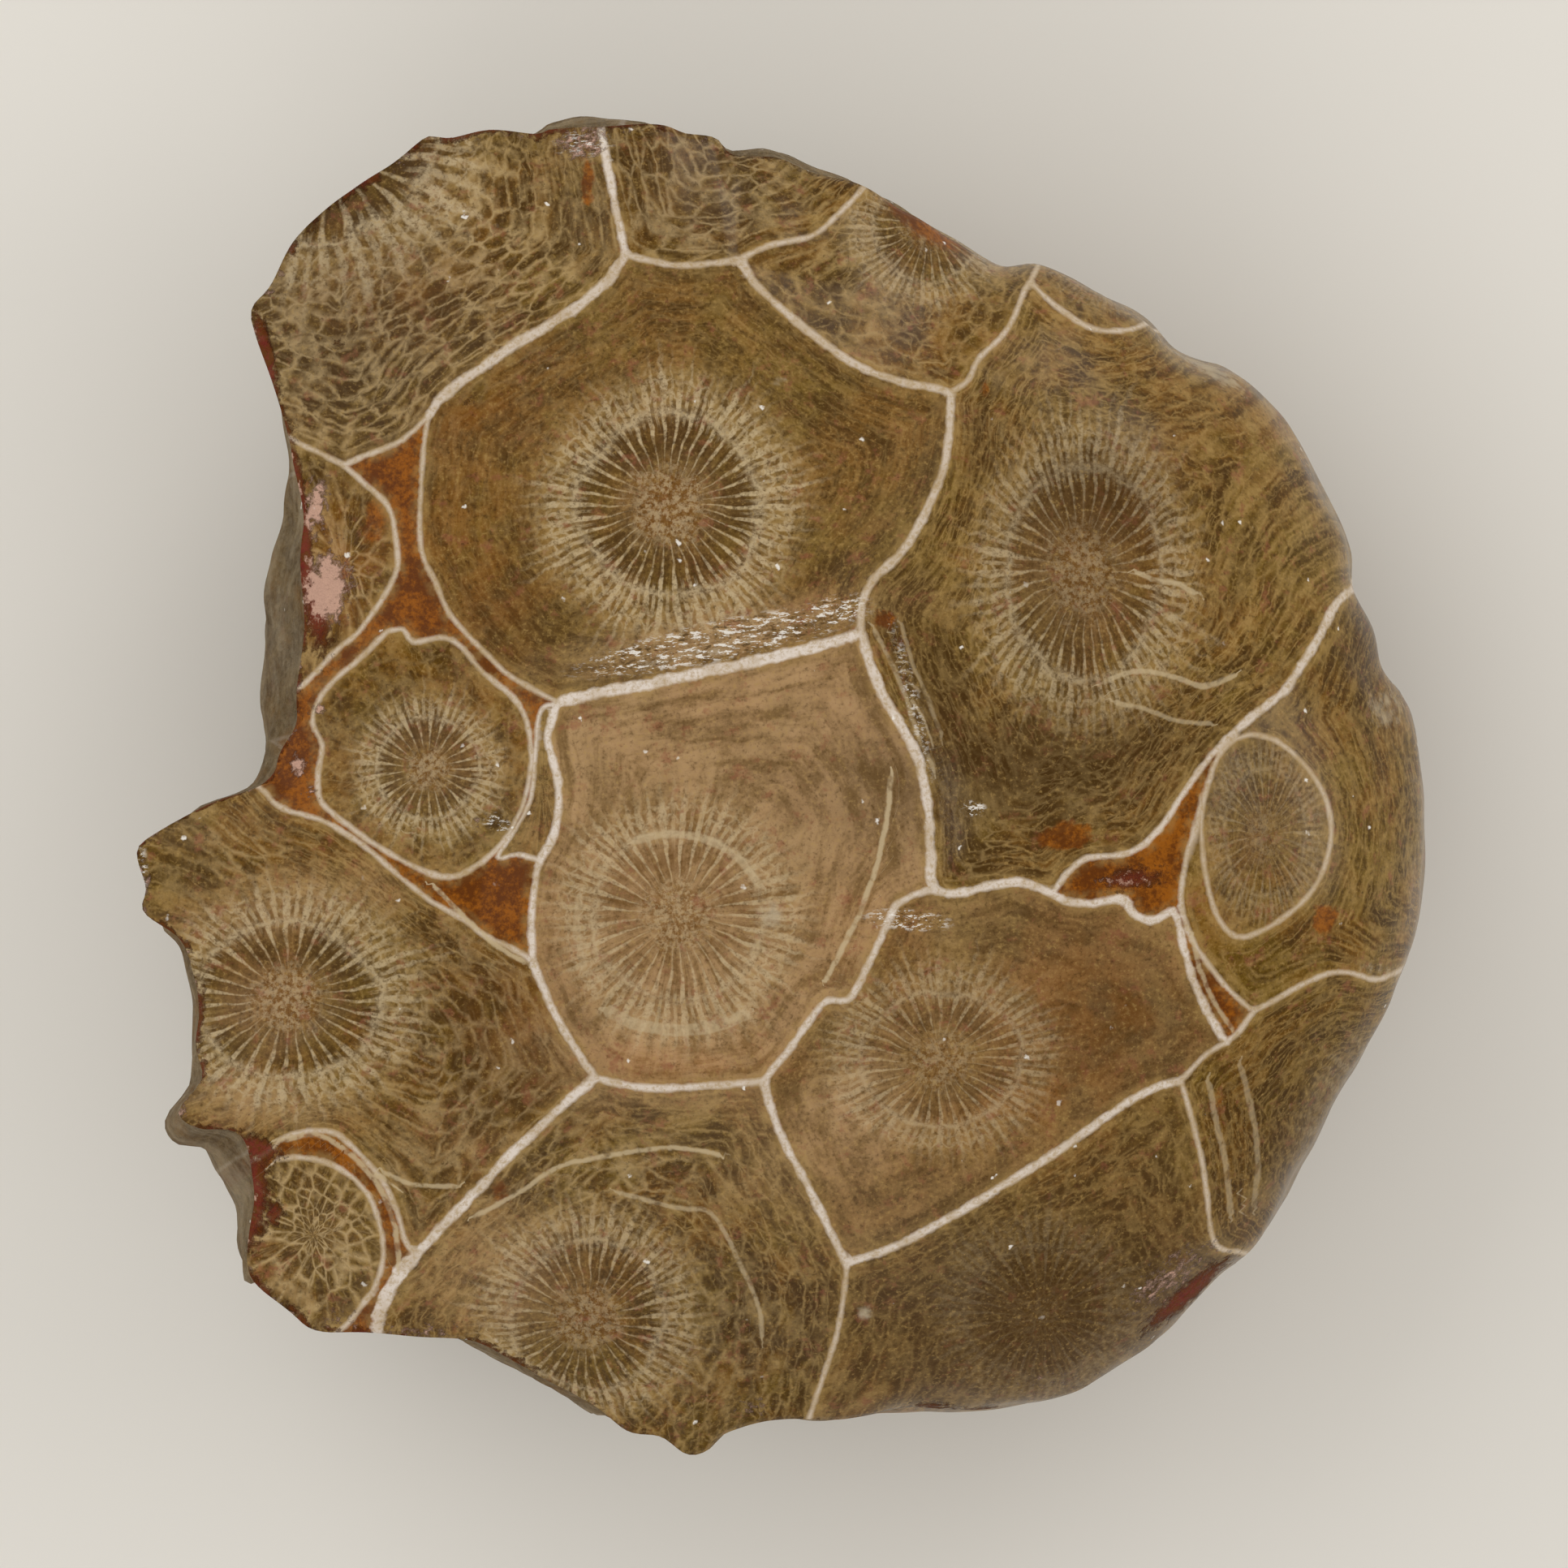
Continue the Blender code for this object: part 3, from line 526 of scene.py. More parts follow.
# Chalk-and-glare patches: pale worn chalky spots, partly painted glare on the rounded rim and in the
# pitted band.
CHALK_AND_GLARE_PX = [
    ((1490, 447), (66, 12), 32, 0.75), ((1712, 868), (30, 34), 0, 0.6),
    ((1068, 1610), (13, 9), 0, 0.8), ((880, 798), (150, 12), -12, 0.55),
    ((1262, 1150), (30, 34), -30, 0.35), ((951, 1120), (26, 24), 0, 0.6),
    ((1590, 1480), (40, 70), 25, 0.3), ((1740, 960), (18, 80), 0, 0.25),
    ((960, 468), (18, 7), -10, 0.6), ((1700, 1190), (50, 12), 8, 0.5),
]
# Painted-shade patches: the tissue is painted darker there, as shade on slopes turned from the light and
# as the shadow beside the middle cell's step.
PAINTED_SHADE_PX = [
    ((1350, 610), (80, 64), 0, 0.85), ((1320, 720), (70, 80), 0, 0.35),
    ((1165, 880), (40, 150), -20, 0.8), ((800, 230), (130, 80), 0, 0.45),
    ((440, 400), (150, 120), 0, 0.5), ((1290, 960), (120, 60), 0, 0.5),
    ((1690, 800), (30, 60), 0, 0.5), ((1210, 540), (24, 60), 0, 0.5), ((620, 760), (70, 40), 20, 0.4),
    ((1140, 720), (16, 50), 10, 0.4), ((1290, 1610), (230, 120), -15, 1.0),
    ((1260, 940), (190, 60), -8, 1.0), ((1360, 1240), (80, 90), 0, 0.55),
    ((1600, 1400), (90, 130), 20, 0.5), ((620, 1270), (80, 110), 0, 0.45),
    ((430, 170), (120, 80), -35, 0.6), ((900, 1600), (60, 100), 0, 0.35),
]
# Milk-and-sheen patches: a milky film, partly a painted sheen of reflected light, over the tissue.
MILK_AND_SHEEN_PX = [
    ((1040, 1370), (100, 90), -40, 0.7), ((951, 1120), (44, 40), 0, 0.85),
    ((830, 1290), (130, 50), 0, 1.0), ((610, 1560), (80, 80), 0, 0.4), ((827, 620), (56, 50), 0, 0.45),
    ((880, 784), (170, 30), -12, 0.7), ((1322, 704), (70, 90), 0, 0.35),
    ((342, 1232), (60, 50), 0, 0.4), ((390, 1515), (80, 80), 0, 0.15),
    ((560, 1400), (90, 50), -30, 0.2), ((1590, 1010), (60, 80), 0, 0.15),
    ((530, 945), (60, 60), 0, 0.2), ((370, 1110), (130, 36), -12, 0.45),
    ((300, 1345), (110, 30), 8, 0.45), ((1160, 1300), (90, 70), 0, 0.35),
    ((850, 230), (50, 50), 0, 0.2),
]
WARM_PX = [
    ((820, 1305), (120, 22), 0, 0.45), ((1350, 1230), (90, 70), 10, 0.6),
    ((1300, 1340), (110, 50), -20, 0.5), ((590, 505), (44, 32), 0, 0.6),
    ((490, 350), (90, 44), 0, 0.4), ((430, 690), (60, 80), 0, 0.6), ((640, 1250), (60, 90), 0, 0.4),
    ((590, 690), (60, 130), 0, 0.5), ((1190, 420), (60, 30), 0, 0.25), ((1400, 640), (80, 80), 0, 0.2),
    ((1500, 1100), (30, 70), 0, 0.35), ((1080, 1180), (50, 60), 0, 0.3),
]
COARSE_PX = [
    ((430, 340), (270, 210), 0, 1.0), ((850, 230), (120, 100), 0, 1.0),
    ((1090, 380), (140, 100), 20, 0.4), ((390, 1515), (100, 100), 0, 1.0),
    ((600, 1300), (130, 170), 0, 0.9), ((430, 690), (60, 100), 0, 0.8),
    ((560, 1420), (150, 80), -30, 0.7), ((300, 1050), (90, 60), 0, 0.6),
    ((900, 1640), (90, 120), 0, 0.5), ((530, 945), (130, 110), 0, 0.5),
    ((1190, 980), (60, 120), 0, 0.4), ((760, 1440), (160, 60), 0, 0.6),
    ((1250, 950), (180, 70), 0, 0.35), ((560, 780), (60, 60), 0, 0.5),
    ((700, 400), (120, 60), -30, 0.3),
]
GLINT_PX = [
    ((890, 786), (150, 20), -12, 1.0), ((1015, 757), (50, 18), -20, 0.9),
    ((1125, 860), (12, 130), -14, 0.5), ((1200, 992), (14, 10), 0, 0.8),
    ((1120, 1128), (50, 12), 5, 0.8), ((615, 1010), (20, 14), 20, 0.6),
    ((1040, 1300), (60, 70), 0, 0.25), ((175, 1072), (10, 40), 0, 0.7), ((720, 175), (40, 20), 0, 0.6),
]

# Brown limestone, what stains it, and the painted sheen, glare and glints on it, as sRGB from 0 to
# 255, for the parts of the pattern.
PALETTE = {
    "gap": (60, 38, 4),
    "tissue": (114, 76, 12),
    "olive": (104, 78, 12),
    "moss": (114, 91, 24),
    "umber": (107, 67, 16),
    "blush": (134, 80, 56),
    "line": (160, 130, 76),
    "ring": (190, 170, 134),
    "axis": (172, 148, 112),
    "milky_sheen": (182, 148, 108),
    "milky_sheen_low": (134, 104, 66),
    "wall": (218, 206, 194),
    "fleck_and_glint": (232, 226, 216),
    "orange": (141, 80, 12),
    "rust": (92, 46, 4),
    "red": (112, 38, 30),
    "pink": (200, 160, 140),
    "chalk_and_glare": (178, 164, 138),
    "clay": (118, 104, 82),
    "floor": (226, 222, 214),
}


def plan_mm(points):
    """Photograph pixels as millimetres from the loft's axis, with +Y up the photograph."""
    pixels = np.asarray(points, float)
    return (pixels - AXIS_PX) * (PIXEL, -PIXEL)


def smooth_curve(points, closed, per_span=6):
    """Points along a Catmull-Rom curve through the given ones."""
    points = np.asarray(points, float)
    if closed:
        before, after = points[-1:], points[:2]
    else:
        before, after = 2 * points[:1] - points[1:2], 2 * points[-1:] - points[-2:-1]
    padded = np.concatenate([before, points, after])
    found = []
    for i in range(len(padded) - 3):
        a, b, c, d = padded[i : i + 4]
        for t in np.arange(per_span) / per_span:
            bend, twist = 2 * a - 5 * b + 4 * c - d, 3 * b - a - 3 * c + d
            found.append(0.5 * (2 * b + (c - a) * t + bend * t**2 + twist * t**3))
    if not closed:
        found.append(points[-1])
    return np.array(found)


def joined(curves, closing):
    """One closed outline from curves that meet end to end, and the points that close it."""
    outline = curves[0]
    if len(curves) > 1:
        gaps = [np.linalg.norm(outline[i] - curves[1][j]) for i in (0, -1) for j in (0, -1)]
        if int(np.argmin(gaps)) < 2:
            outline = outline[::-1]
    for curve in curves[1:]:
        if np.linalg.norm(curve[-1] - outline[-1]) < np.linalg.norm(curve[0] - outline[-1]):
            curve = curve[::-1]
        outline = np.concatenate([outline, curve[1:]])
    if len(closing):
        ends = np.linalg.norm(closing[[0, -1]] - outline[-1], axis=1)
        outline = np.concatenate([outline, closing if ends[0] <= ends[1] else closing[::-1]])
    return outline


def edge_gap(points, a, b):
    """From each point, the way from the nearest place on the line from a to b, and its length."""
    edge = b - a
    along = np.clip(((points - a) @ edge) / max(edge @ edge, 1e-12), 0, 1)
    gap = points - a - along[:, None] * edge
    return gap, np.hypot(gap[:, 0], gap[:, 1])


def gap_to(points, curve):
    """Distance from each point to a curve."""
    nearest = np.full(len(points), np.inf)
    for a, b in zip(curve, curve[1:]):
        nearest = np.minimum(nearest, edge_gap(points, a, b)[1])
    return nearest


def side_of(points, curve):
    """Distance from each point to an open curve, positive on its left and negative on its right."""
    nearest = np.full(len(points), np.inf)
    signed = np.zeros(len(points))
    for a, b in zip(curve, curve[1:]):
        gap, distance = edge_gap(points, a, b)
        turn = (b - a)[0] * gap[:, 1] - (b - a)[1] * gap[:, 0]
        signed = np.where(distance < nearest, np.sign(turn) * distance, signed)
        nearest = np.minimum(nearest, distance)
    return signed


def is_inside(points, outline):
    """Whether each point lies in a closed outline."""
    inside = np.zeros(len(points), bool)
    for a, b in zip(outline, np.roll(outline, -1, axis=0)):
        if a[1] != b[1]:
            spans = (a[1] > points[:, 1]) != (b[1] > points[:, 1])
            crossing = a[0] + (points[:, 1] - a[1]) / (b[1] - a[1]) * (b[0] - a[0])
            inside ^= spans & (points[:, 0] < crossing)
    return inside


def signed_gap(points, outline, gap):
    """The gap of each point, made negative where the point lies outside a closed outline."""
    return np.where(is_inside(points, outline), gap, -gap)


def eased(bearings, table, column):
    """A column of a bearing table at each bearing, in degrees, with level tangents at its rows."""
    rows = sorted(table)
    knots = np.array([row[0] for row in rows] + [rows[0][0] + 360], float)
    values = np.array([row[column] for row in rows] + [rows[0][column]], float)
    turned = (np.asarray(bearings, float) - knots[0]) % 360 + knots[0]
    index = np.clip(np.searchsorted(knots, turned, side="right") - 1, 0, len(knots) - 2)
    share = (turned - knots[index]) / (knots[index + 1] - knots[index])
    share = (1 - np.cos(math.pi * share)) / 2
    return values[index] * (1 - share) + values[index + 1] * share


def outline_radius(bearings):
    """The outline's distance from the axis at each bearing, in mm."""
    curve = smooth_curve(plan_mm(OUTLINE_PX), closed=True)
    angles = np.degrees(np.arctan2(curve[:, 1], curve[:, 0])) % 360
    order = np.argsort(angles)
    return np.interp(bearings, angles[order], np.hypot(curve[:, 0], curve[:, 1])[order], period=360)


def worn_radius(bearings):
    """The outline's distance from the axis in mm, evened out over the bearings on both sides."""
    spans = np.linspace(-WORN_SPAN, WORN_SPAN, WORN_STEPS)
    weights = np.cos(np.linspace(-1, 1, WORN_STEPS) * math.pi / 2) + 0.01
    return sum(w * outline_radius(bearings + span) for w, span in zip(weights, spans)) / weights.sum()


def even_steps(path, count):
    """count + 1 points at even spacing along a path of (radius, height) rows."""
    lengths = np.concatenate([[0], np.cumsum(np.hypot(*np.diff(path, axis=0).T))])
    wanted = np.linspace(0, lengths[-1], count + 1)
    return np.stack([np.interp(wanted, lengths, path[:, k]) for k in (0, 1)], axis=1)


def profile(bearing, body_radius, foot_radius, rings):
    """The stone's section at a bearing, as (radius, height) rows from the top's centre to the base's."""
    rim_height, belly_height, sharp, scoop = (eased([bearing], SIDE_TABLE, k)[0] for k in range(1, 5))
    setback = eased([bearing], SETBACK_TABLE, 1)[0]
    rim_radius = body_radius - setback
    spot_radius = foot_radius * SPOT_SHARE
    share = np.linspace(0, 1, SECTION_STEPS)

    # The outline's small bulges belong to the rim, and die out below it, except on the standing ledges.
    bulge = max(body_radius - foot_radius, 0) * (1 - min(setback / LEDGE_SETBACK, 1))
    belly_radius = body_radius - BULGE_WEAR * bulge

    # The face falls as a full curve to a rounded rim, and as a gentle slope to a broken one. The rim's
    # small bulges reach only a little way in over it.
    turn = share * math.pi / 2
    full = np.stack([np.sin(turn) ** DOME_POWER, 1 - np.cos(turn)], axis=1)
    gentle = np.stack([share, share**SLOPE_POWER], axis=1)
    form = full * (1 - sharp) + gentle * sharp
    reach = foot_radius + (rim_radius - foot_radius) * share**RIM_POWER
    face = np.stack([reach * form[:, 0], THICKNESS - (THICKNESS - rim_height) * form[:, 1]], axis=1)

    # The side runs from the rim out to the belly, scooped where it is broken, and then in to the base.
    outwards = rim_radius + (belly_radius - rim_radius) * share**BELLY_POWER
    scooped = outwards - scoop * np.sin(math.pi * share) ** SCOOP_POWER
    upper = np.stack([scooped, rim_height + (belly_height - rim_height) * share], axis=1)
    waist_radius = belly_radius + (foot_radius - belly_radius) * share**WAIST_POWER
    tucked = spot_radius + (waist_radius - spot_radius) * np.cos(turn) ** TUCK_POWER
    foot_height = belly_height * (1 - np.sin(turn) ** FOOT_POWER)
    lower = np.stack([np.minimum(tucked, belly_radius), foot_height], axis=1)
    side = np.concatenate([upper, lower[1:]])
    base = np.array([[spot_radius, 0.0], [0.0, 0.0]])
    paths = [even_steps(path, count) for path, count in zip((face, side, base), rings)]
    return np.concatenate([paths[0], paths[1][1:], paths[2][1:]])


def scarred(points, bearings):
    """Pulls the side in to each scar's hollow, along the line to the axis."""
    radius = np.hypot(points[:, 0], points[:, 1])
    for bearing, height, size, depth in SCARS:
        turn = math.radians(bearing)
        away = outline_radius([bearing])[0] + size - depth
        ahead = away * np.cos(np.radians(bearings) - turn)
        reach = ahead**2 - (away**2 + (points[:, 2] - height) ** 2 - size**2)
        entry = ahead - np.sqrt(np.maximum(reach, 0))
        hit = (reach > 0) & (entry > 0) & (radius > entry)
        scale = np.where(hit, entry / np.maximum(radius, 1e-9), 1.0)
        points[:, :2] *= scale[:, None]
        radius = radius * scale
    return points


def roughened(points, bearings):
    """Lumps on the sides: bold where the side is broken, faint where it is worn round."""
    sharp = eased(bearings, SIDE_TABLE, 3)
    for i, point in enumerate(points):
        below = np.clip((THICKNESS - LUMP_CLEARANCE - point[2]) / LUMP_ONSET, 0, 1)
        below = below * np.clip(point[2] / LUMP_FADE, 0, 1)
        if below <= 0:
            continue
        size = below * (WORN_LUMP + BROKEN_LUMP * sharp[i])
        small = noise.noise(Vector(point) * 0.7 + Vector((9, 4, 2)))
        lump = noise.noise(Vector(point) * 0.28) + 0.5 * small
        point[:2] *= 1 + size * lump / max(math.hypot(point[0], point[1]), 1)
    return points


def cell_relief(points):
    """How far the face stands above or below its plain curve at each point, in mm."""
    plan = points[:, :2]
    relief = np.zeros(len(points))
    for name, (walls, closing, depth) in CELLS.items():
        curves = [smooth_curve(WALLS_PX[wall], closed=False, per_span=3) for wall in walls]
        outline = plan_mm(joined(curves, np.array(closing)))
        gap = gap_to(plan, np.concatenate([outline, outline[:1]]))
        inside = signed_gap(plan, outline, gap)
        if name == STEP_CELL:
            rise = np.clip(1 + inside / STEP_WIDTH, 0, 1)
            relief += STEP_HEIGHT * rise * rise * (3 - 2 * rise)
        relief -= depth * (1 - np.exp(-np.maximum(inside, 0) / DISH_WIDTH))
    return relief


def stone_points(spokes, rings):
    """The stone's rings of points, from the top's centre to the base's, in mm, as [ring, spoke, xyz]."""
    bearings = np.arange(spokes) * 360 / spokes
    radii = zip(bearings, outline_radius(bearings), worn_radius(bearings))
    sections = np.array([profile(bearing, body, foot, rings) for bearing, body, foot in radii])
    turn = np.radians(bearings)[:, None]
    radius, height = sections[:, :, 0], sections[:, :, 1]
    grid = np.stack([radius * np.cos(turn), radius * np.sin(turn), height], axis=2).transpose(1, 0, 2)
    shape = grid.shape
    points = grid.reshape(-1, 3).copy()
    around = np.tile(bearings, shape[0])
    points = roughened(scarred(points, around), around)
    fade = np.ones(shape[0])
    below_rim = np.arange(shape[0]) - rings[0]
    fade[below_rim > 0] = np.exp(-below_rim[below_rim > 0] / (RELIEF_FADE * rings[1]))
    fade[below_rim >= rings[1]] = 0
    points[:, 2] += cell_relief(points) * np.repeat(fade, spokes)
    return points.reshape(shape)


def wall_curves():
    """Every wall as a smooth curve in mm, carried on outwards where it leaves the stone."""
    curves = {}
    for name, points in WALLS_PX.items():
        curve = plan_mm(smooth_curve(points, closed=False, per_span=3))
        for end in (0, -1):
            x, y = curve[end]
            if math.hypot(x, y) > outline_radius([math.degrees(math.atan2(y, x)) % 360])[0] + 1:
                far = curve[end][None] * SIDE_REACH
                curve = np.concatenate([far, curve] if end == 0 else [curve, far])
        curves[name] = curve
    return curves


def cell_outline(walls, closing, curves):
    """A cell's closed outline in mm: its walls end to end, and its far side past the stone."""
    far = plan_mm(closing) * SIDE_REACH if closing else []
    return joined([curves[name] for name in walls], far)


def soft_patches(plan, patches):
    """How strongly a group of soft patches covers each point, from 0 to 1."""
    cover = np.zeros(len(plan))
    for middle, radii, turn, strength in patches:
        place = plan - plan_mm([middle])[0]
        c, s = math.cos(math.radians(-turn)), math.sin(math.radians(-turn))
        along = (place[:, 0] * c + place[:, 1] * s) / (radii[0] * PIXEL)
        across = (place[:, 1] * c - place[:, 0] * s) / (radii[1] * PIXEL)
        cover = np.maximum(cover, strength * np.exp(-PATCH_FALLOFF * (along**2 + across**2)))
    return cover


def cell_fields(plan, curves):
    """For each layer of cells, each point's place in its cell and the cell's looks."""
    gaps = {name: gap_to(plan, curve) for name, curve in curves.items()}
    places, traits = [], []
    for layer in range(LAYERS):
        place = np.zeros((len(plan), 4))
        place[:, 2] = -NO_CELL
        trait = np.zeros((len(plan), 4))
        for name, (middle, ring, septa, calyx, net, milky_sheen, cell_layer) in LOOKS.items():
            if cell_layer != layer:
                continue
            walls, closing, _ = CELLS[name]
            gap = np.minimum.reduce([gaps[wall] for wall in walls])
            wall_gap = signed_gap(plan, cell_outline(walls, closing, curves), gap)
            if name in BUD_IN:
                bud = BUD_IN[name]
                bud_gap = signed_gap(plan, cell_outline([bud], [], curves), gaps[bud])
                wall_gap = np.minimum(wall_gap, -bud_gap)
            around = (plan - plan_mm([middle])[0]) / (np.array(ring) * PIXEL)
            here = wall_gap > place[:, 2]
            scale = np.full(len(plan), sum(ring) / 2 / USUAL_RING_PX)
            place[here] = np.column_stack([around, wall_gap, scale])[here]
            trait[here] = (milky_sheen, calyx, septa / MOST_SEPTA, net)
        places.append(place)
        traits.append(trait)
    names = list(curves)
    nearest = np.argmin([gaps[name] for name in names], axis=0)
    looks = np.array([WALL_LOOKS.get(name, PLAIN_WALL) for name in names])
    return places, traits, looks[nearest]


def vein_field(plan):
    """The nearest vein's signed distance in mm, its strength and its half width at each point."""
    field = np.zeros((len(plan), 3))
    field[:, 0] = NO_VEIN
    for half, strength, points in VEINS_PX:
        signed = side_of(plan, plan_mm(smooth_curve(points, closed=False, per_span=4)))
        here = np.abs(signed) < np.minimum(np.abs(field[:, 0]), VEIN_REACH)
        field[here, 0] = signed[here]
        field[here, 1:] = (strength, half)
    return field


def put(mesh, name, kind, values):
    """Stores one value at each point of the mesh."""
    layer = mesh.attributes.new(name, kind, "POINT")
    field = "color" if kind == "FLOAT_COLOR" else "vector"
    layer.data.foreach_set(field, np.asarray(values, np.float32).ravel())


def stone_piece():
    """The fine stone, fitted to its solid's box, with everything that its material reads."""
    rings = (FACE_RINGS, SIDE_RINGS, BASE_RINGS)
    grid = stone_points(SPOKES, rings)
    loops = grid[1:-1].reshape(-1, 3)
    points = np.concatenate([loops, grid[:1, 0], grid[-1:, 0]])
    low, high = points.min(0), points.max(0)
    box_low, box_high = (np.array(corner) / MM for corner in cad_box)
    box_low, box_high = box_low + FIT_MARGIN, box_high - FIT_MARGIN
    fitted = box_low + (points - low) / (high - low) * (box_high - box_low)
    fitted[:, 2] = points[:, 2] * (box_high[2] / high[2])

    ring_count = len(grid) - 2
    faces = []
    top, bottom = len(loops), len(loops) + 1
    for k in range(SPOKES):
        after = (k + 1) % SPOKES
        faces.append((top, k, after))
        last = (ring_count - 1) * SPOKES
        faces.append((bottom, last + after, last + k))
        for ring in range(ring_count - 1):
            start, below = ring * SPOKES, (ring + 1) * SPOKES
            faces.append((start + k, below + k, below + after, start + after))
    mesh = bpy.data.meshes.new("petoskey_face")
    mesh.from_pydata((fitted * MM).tolist(), [], faces)

    around = np.degrees(np.arctan2(points[:, 1], points[:, 0])) % 360
    drop = np.maximum(eased(around, SIDE_TABLE, 1) - points[:, 2], 0)
    plan = points[:, :2] / (1 - GROWTH_TAPER * drop)[:, None]
    places, traits, walls = cell_fields(plan, wall_curves())
    for layer in range(LAYERS):
        put(mesh, f"cell_{layer}", "FLOAT_COLOR", places[layer])
        put(mesh, f"look_{layer}", "FLOAT_COLOR", traits[layer])
    sharp = eased(around, SIDE_TABLE, 3)
    ring_of = np.concatenate([np.repeat(np.arange(1, ring_count + 1), SPOKES), [0, len(grid) - 1]])
    rim = sharp * np.exp(-(((ring_of - FACE_RINGS) / RIM_RINGS) ** 2))
    put(mesh, "wall", "FLOAT_VECTOR", np.column_stack([walls, rim]))
    put(mesh, "vein", "FLOAT_VECTOR", vein_field(plan))
    near_face = np.clip(1 - (drop - STAIN_DROP) / STAIN_DROP, 0, 1)
    groups = (ORANGE_PX, RED_PX, PINK_PX, CHALK_AND_GLARE_PX, MILK_AND_SHEEN_PX, WARM_PX, COARSE_PX, PAINTED_SHADE_PX, GLINT_PX)
    *stains_and_glare, milk_and_sheen, warm, coarse, painted_shade, glint = (
        soft_patches(points[:, :2], group) * near_face for group in groups
    )
    put(mesh, "stains_and_glare", "FLOAT_COLOR", np.column_stack(stains_and_glare))
    put(mesh, "film_and_sheen", "FLOAT_VECTOR", np.column_stack([milk_and_sheen, warm, coarse]))

    below = np.clip((ring_of - FACE_RINGS) / SIDE_RINGS, 0, 1)
    broken = sharp * np.clip(below * BROKEN_ONSET, 0, 1)
    put(mesh, "ground", "FLOAT_COLOR", np.column_stack([painted_shade, broken, below, glint]))
    mesh.shade_smooth()
    piece = bpy.data.objects.new("petoskey_face", mesh)
    bpy.context.scene.collection.objects.link(piece)
    return piece


class Value:
    """What a shader node puts out. Arithmetic with it adds the nodes that work the result out."""

    def __init__(self, nodes, socket):
        self.nodes = nodes
        self.socket = socket

    def __add__(self, other):
        return self.nodes.math("ADD", self, other)

    def __sub__(self, other):
        return self.nodes.math("SUBTRACT", self, other)

    def __mul__(self, other):
        return self.nodes.math("MULTIPLY", self, other)

    def __truediv__(self, other):
        return self.nodes.math("DIVIDE", self, other)

    def __radd__(self, other):
        return self.nodes.math("ADD", other, self)

    def __rsub__(self, other):
        return self.nodes.math("SUBTRACT", other, self)

    def __abs__(self):
        return self.nodes.math("ABSOLUTE", self)


class Nodes:
    """Adds shader nodes to a tree and links them. Each call gives back the new node's value."""

    def __init__(self, tree):
        self.tree = tree

    def connect(self, value, socket):
        """Links a value to a socket, or sets the socket to a number, a colour or a vector."""
        if isinstance(value, Value):
            self.tree.links.new(value.socket, socket)
        else:
            socket.default_value = value

    def add(self, kind, *inputs, output=0, **settings):
        """Adds a node, with (socket, value) pairs as its inputs and its other settings by name."""
        node = self.tree.nodes.new(kind)
        for name, value in settings.items():
            setattr(node, name, value)
        for place, value in inputs:
            self.connect(value, node.inputs[place])
        return Value(self, node.outputs[output])

    def attribute(self, name, output="Vector"):
        """A value that the mesh carries."""
        return self.add("ShaderNodeAttribute", output=output, attribute_name=name)

    def math(self, operation, a, b=0.0, clamp=False):
        return self.add("ShaderNodeMath", (0, a), (1, b), operation=operation, use_clamp=clamp)

    def larger(self, a, b):
        return self.math("MAXIMUM", a, b)

    def share(self, a, whole):
        """a as a share of the whole, kept between 0 and 1."""
        return self.math("DIVIDE", a, whole, clamp=True)

    def near(self, gap, reach):
        """1 where the gap is 0, falling to 0 where it is as large as the reach."""
        return self.math("SUBTRACT", 1.0, gap / reach, clamp=True)

    def ramp(self, value, low, high, start=0.0, end=1.0):
        """start at low, end at high, and a smooth step between them."""
        return self.add(
            "ShaderNodeMapRange", (0, value), (1, low), (2, high), (3, start), (4, end),
            interpolation_type="SMOOTHSTEP",
        )

    def vector(self, operation, a, b=(0, 0, 0), output=0):
        return self.add("ShaderNodeVectorMath", (0, a), (1, b), operation=operation, output=output)

    def scaled(self, vector, size):
        return self.add("ShaderNodeVectorMath", (0, vector), ("Scale", size), operation="SCALE")

    def join(self, x, y, z):
        return self.add("ShaderNodeCombineXYZ", (0, x), (1, y), (2, z))

    def part(self, vector, axis):
        return self.add("ShaderNodeSeparateXYZ", (0, vector), output=axis)

    def channel(self, colour, index):
        return self.add("ShaderNodeSeparateColor", (0, colour), output=index)

    def noise(self, where, scale, detail=3.0, rough=0.55, output=0):
        return self.add(
            "ShaderNodeTexNoise", ("Vector", where), ("Scale", scale), ("Detail", detail),
            ("Roughness", rough), output=output,
        )

    def cracks(self, where):
        """Distance to the nearest edge between random cells."""
        return self.add(
            "ShaderNodeTexVoronoi", ("Vector", where), ("Scale", 1.0), feature="DISTANCE_TO_EDGE"
        )

    def blobs(self, where, scale, output="Distance"):
        """Distance to the nearest of random points, or that point's random colour."""
        return self.add(
            "ShaderNodeTexVoronoi", ("Vector", where), ("Scale", scale), feature="F1", output=output
        )

    def mix(self, share, a, b):
        return self.add("ShaderNodeMix", (0, share), (6, a), (7, b), data_type="RGBA", output=2)

    def pick(self, share, a, b):
        """a where share is 0 and b where it is 1, for vectors."""
        return self.add("ShaderNodeMix", (0, share), (4, a), (5, b), data_type="VECTOR", output=1)


def linear(name):
    """A palette colour as linear light."""
    parts = [value / 255 for value in PALETTE[name]]
    return [p / 12.92 if p < 0.04045 else ((p + 0.055) / 1.055) ** 2.4 for p in parts] + [1.0]


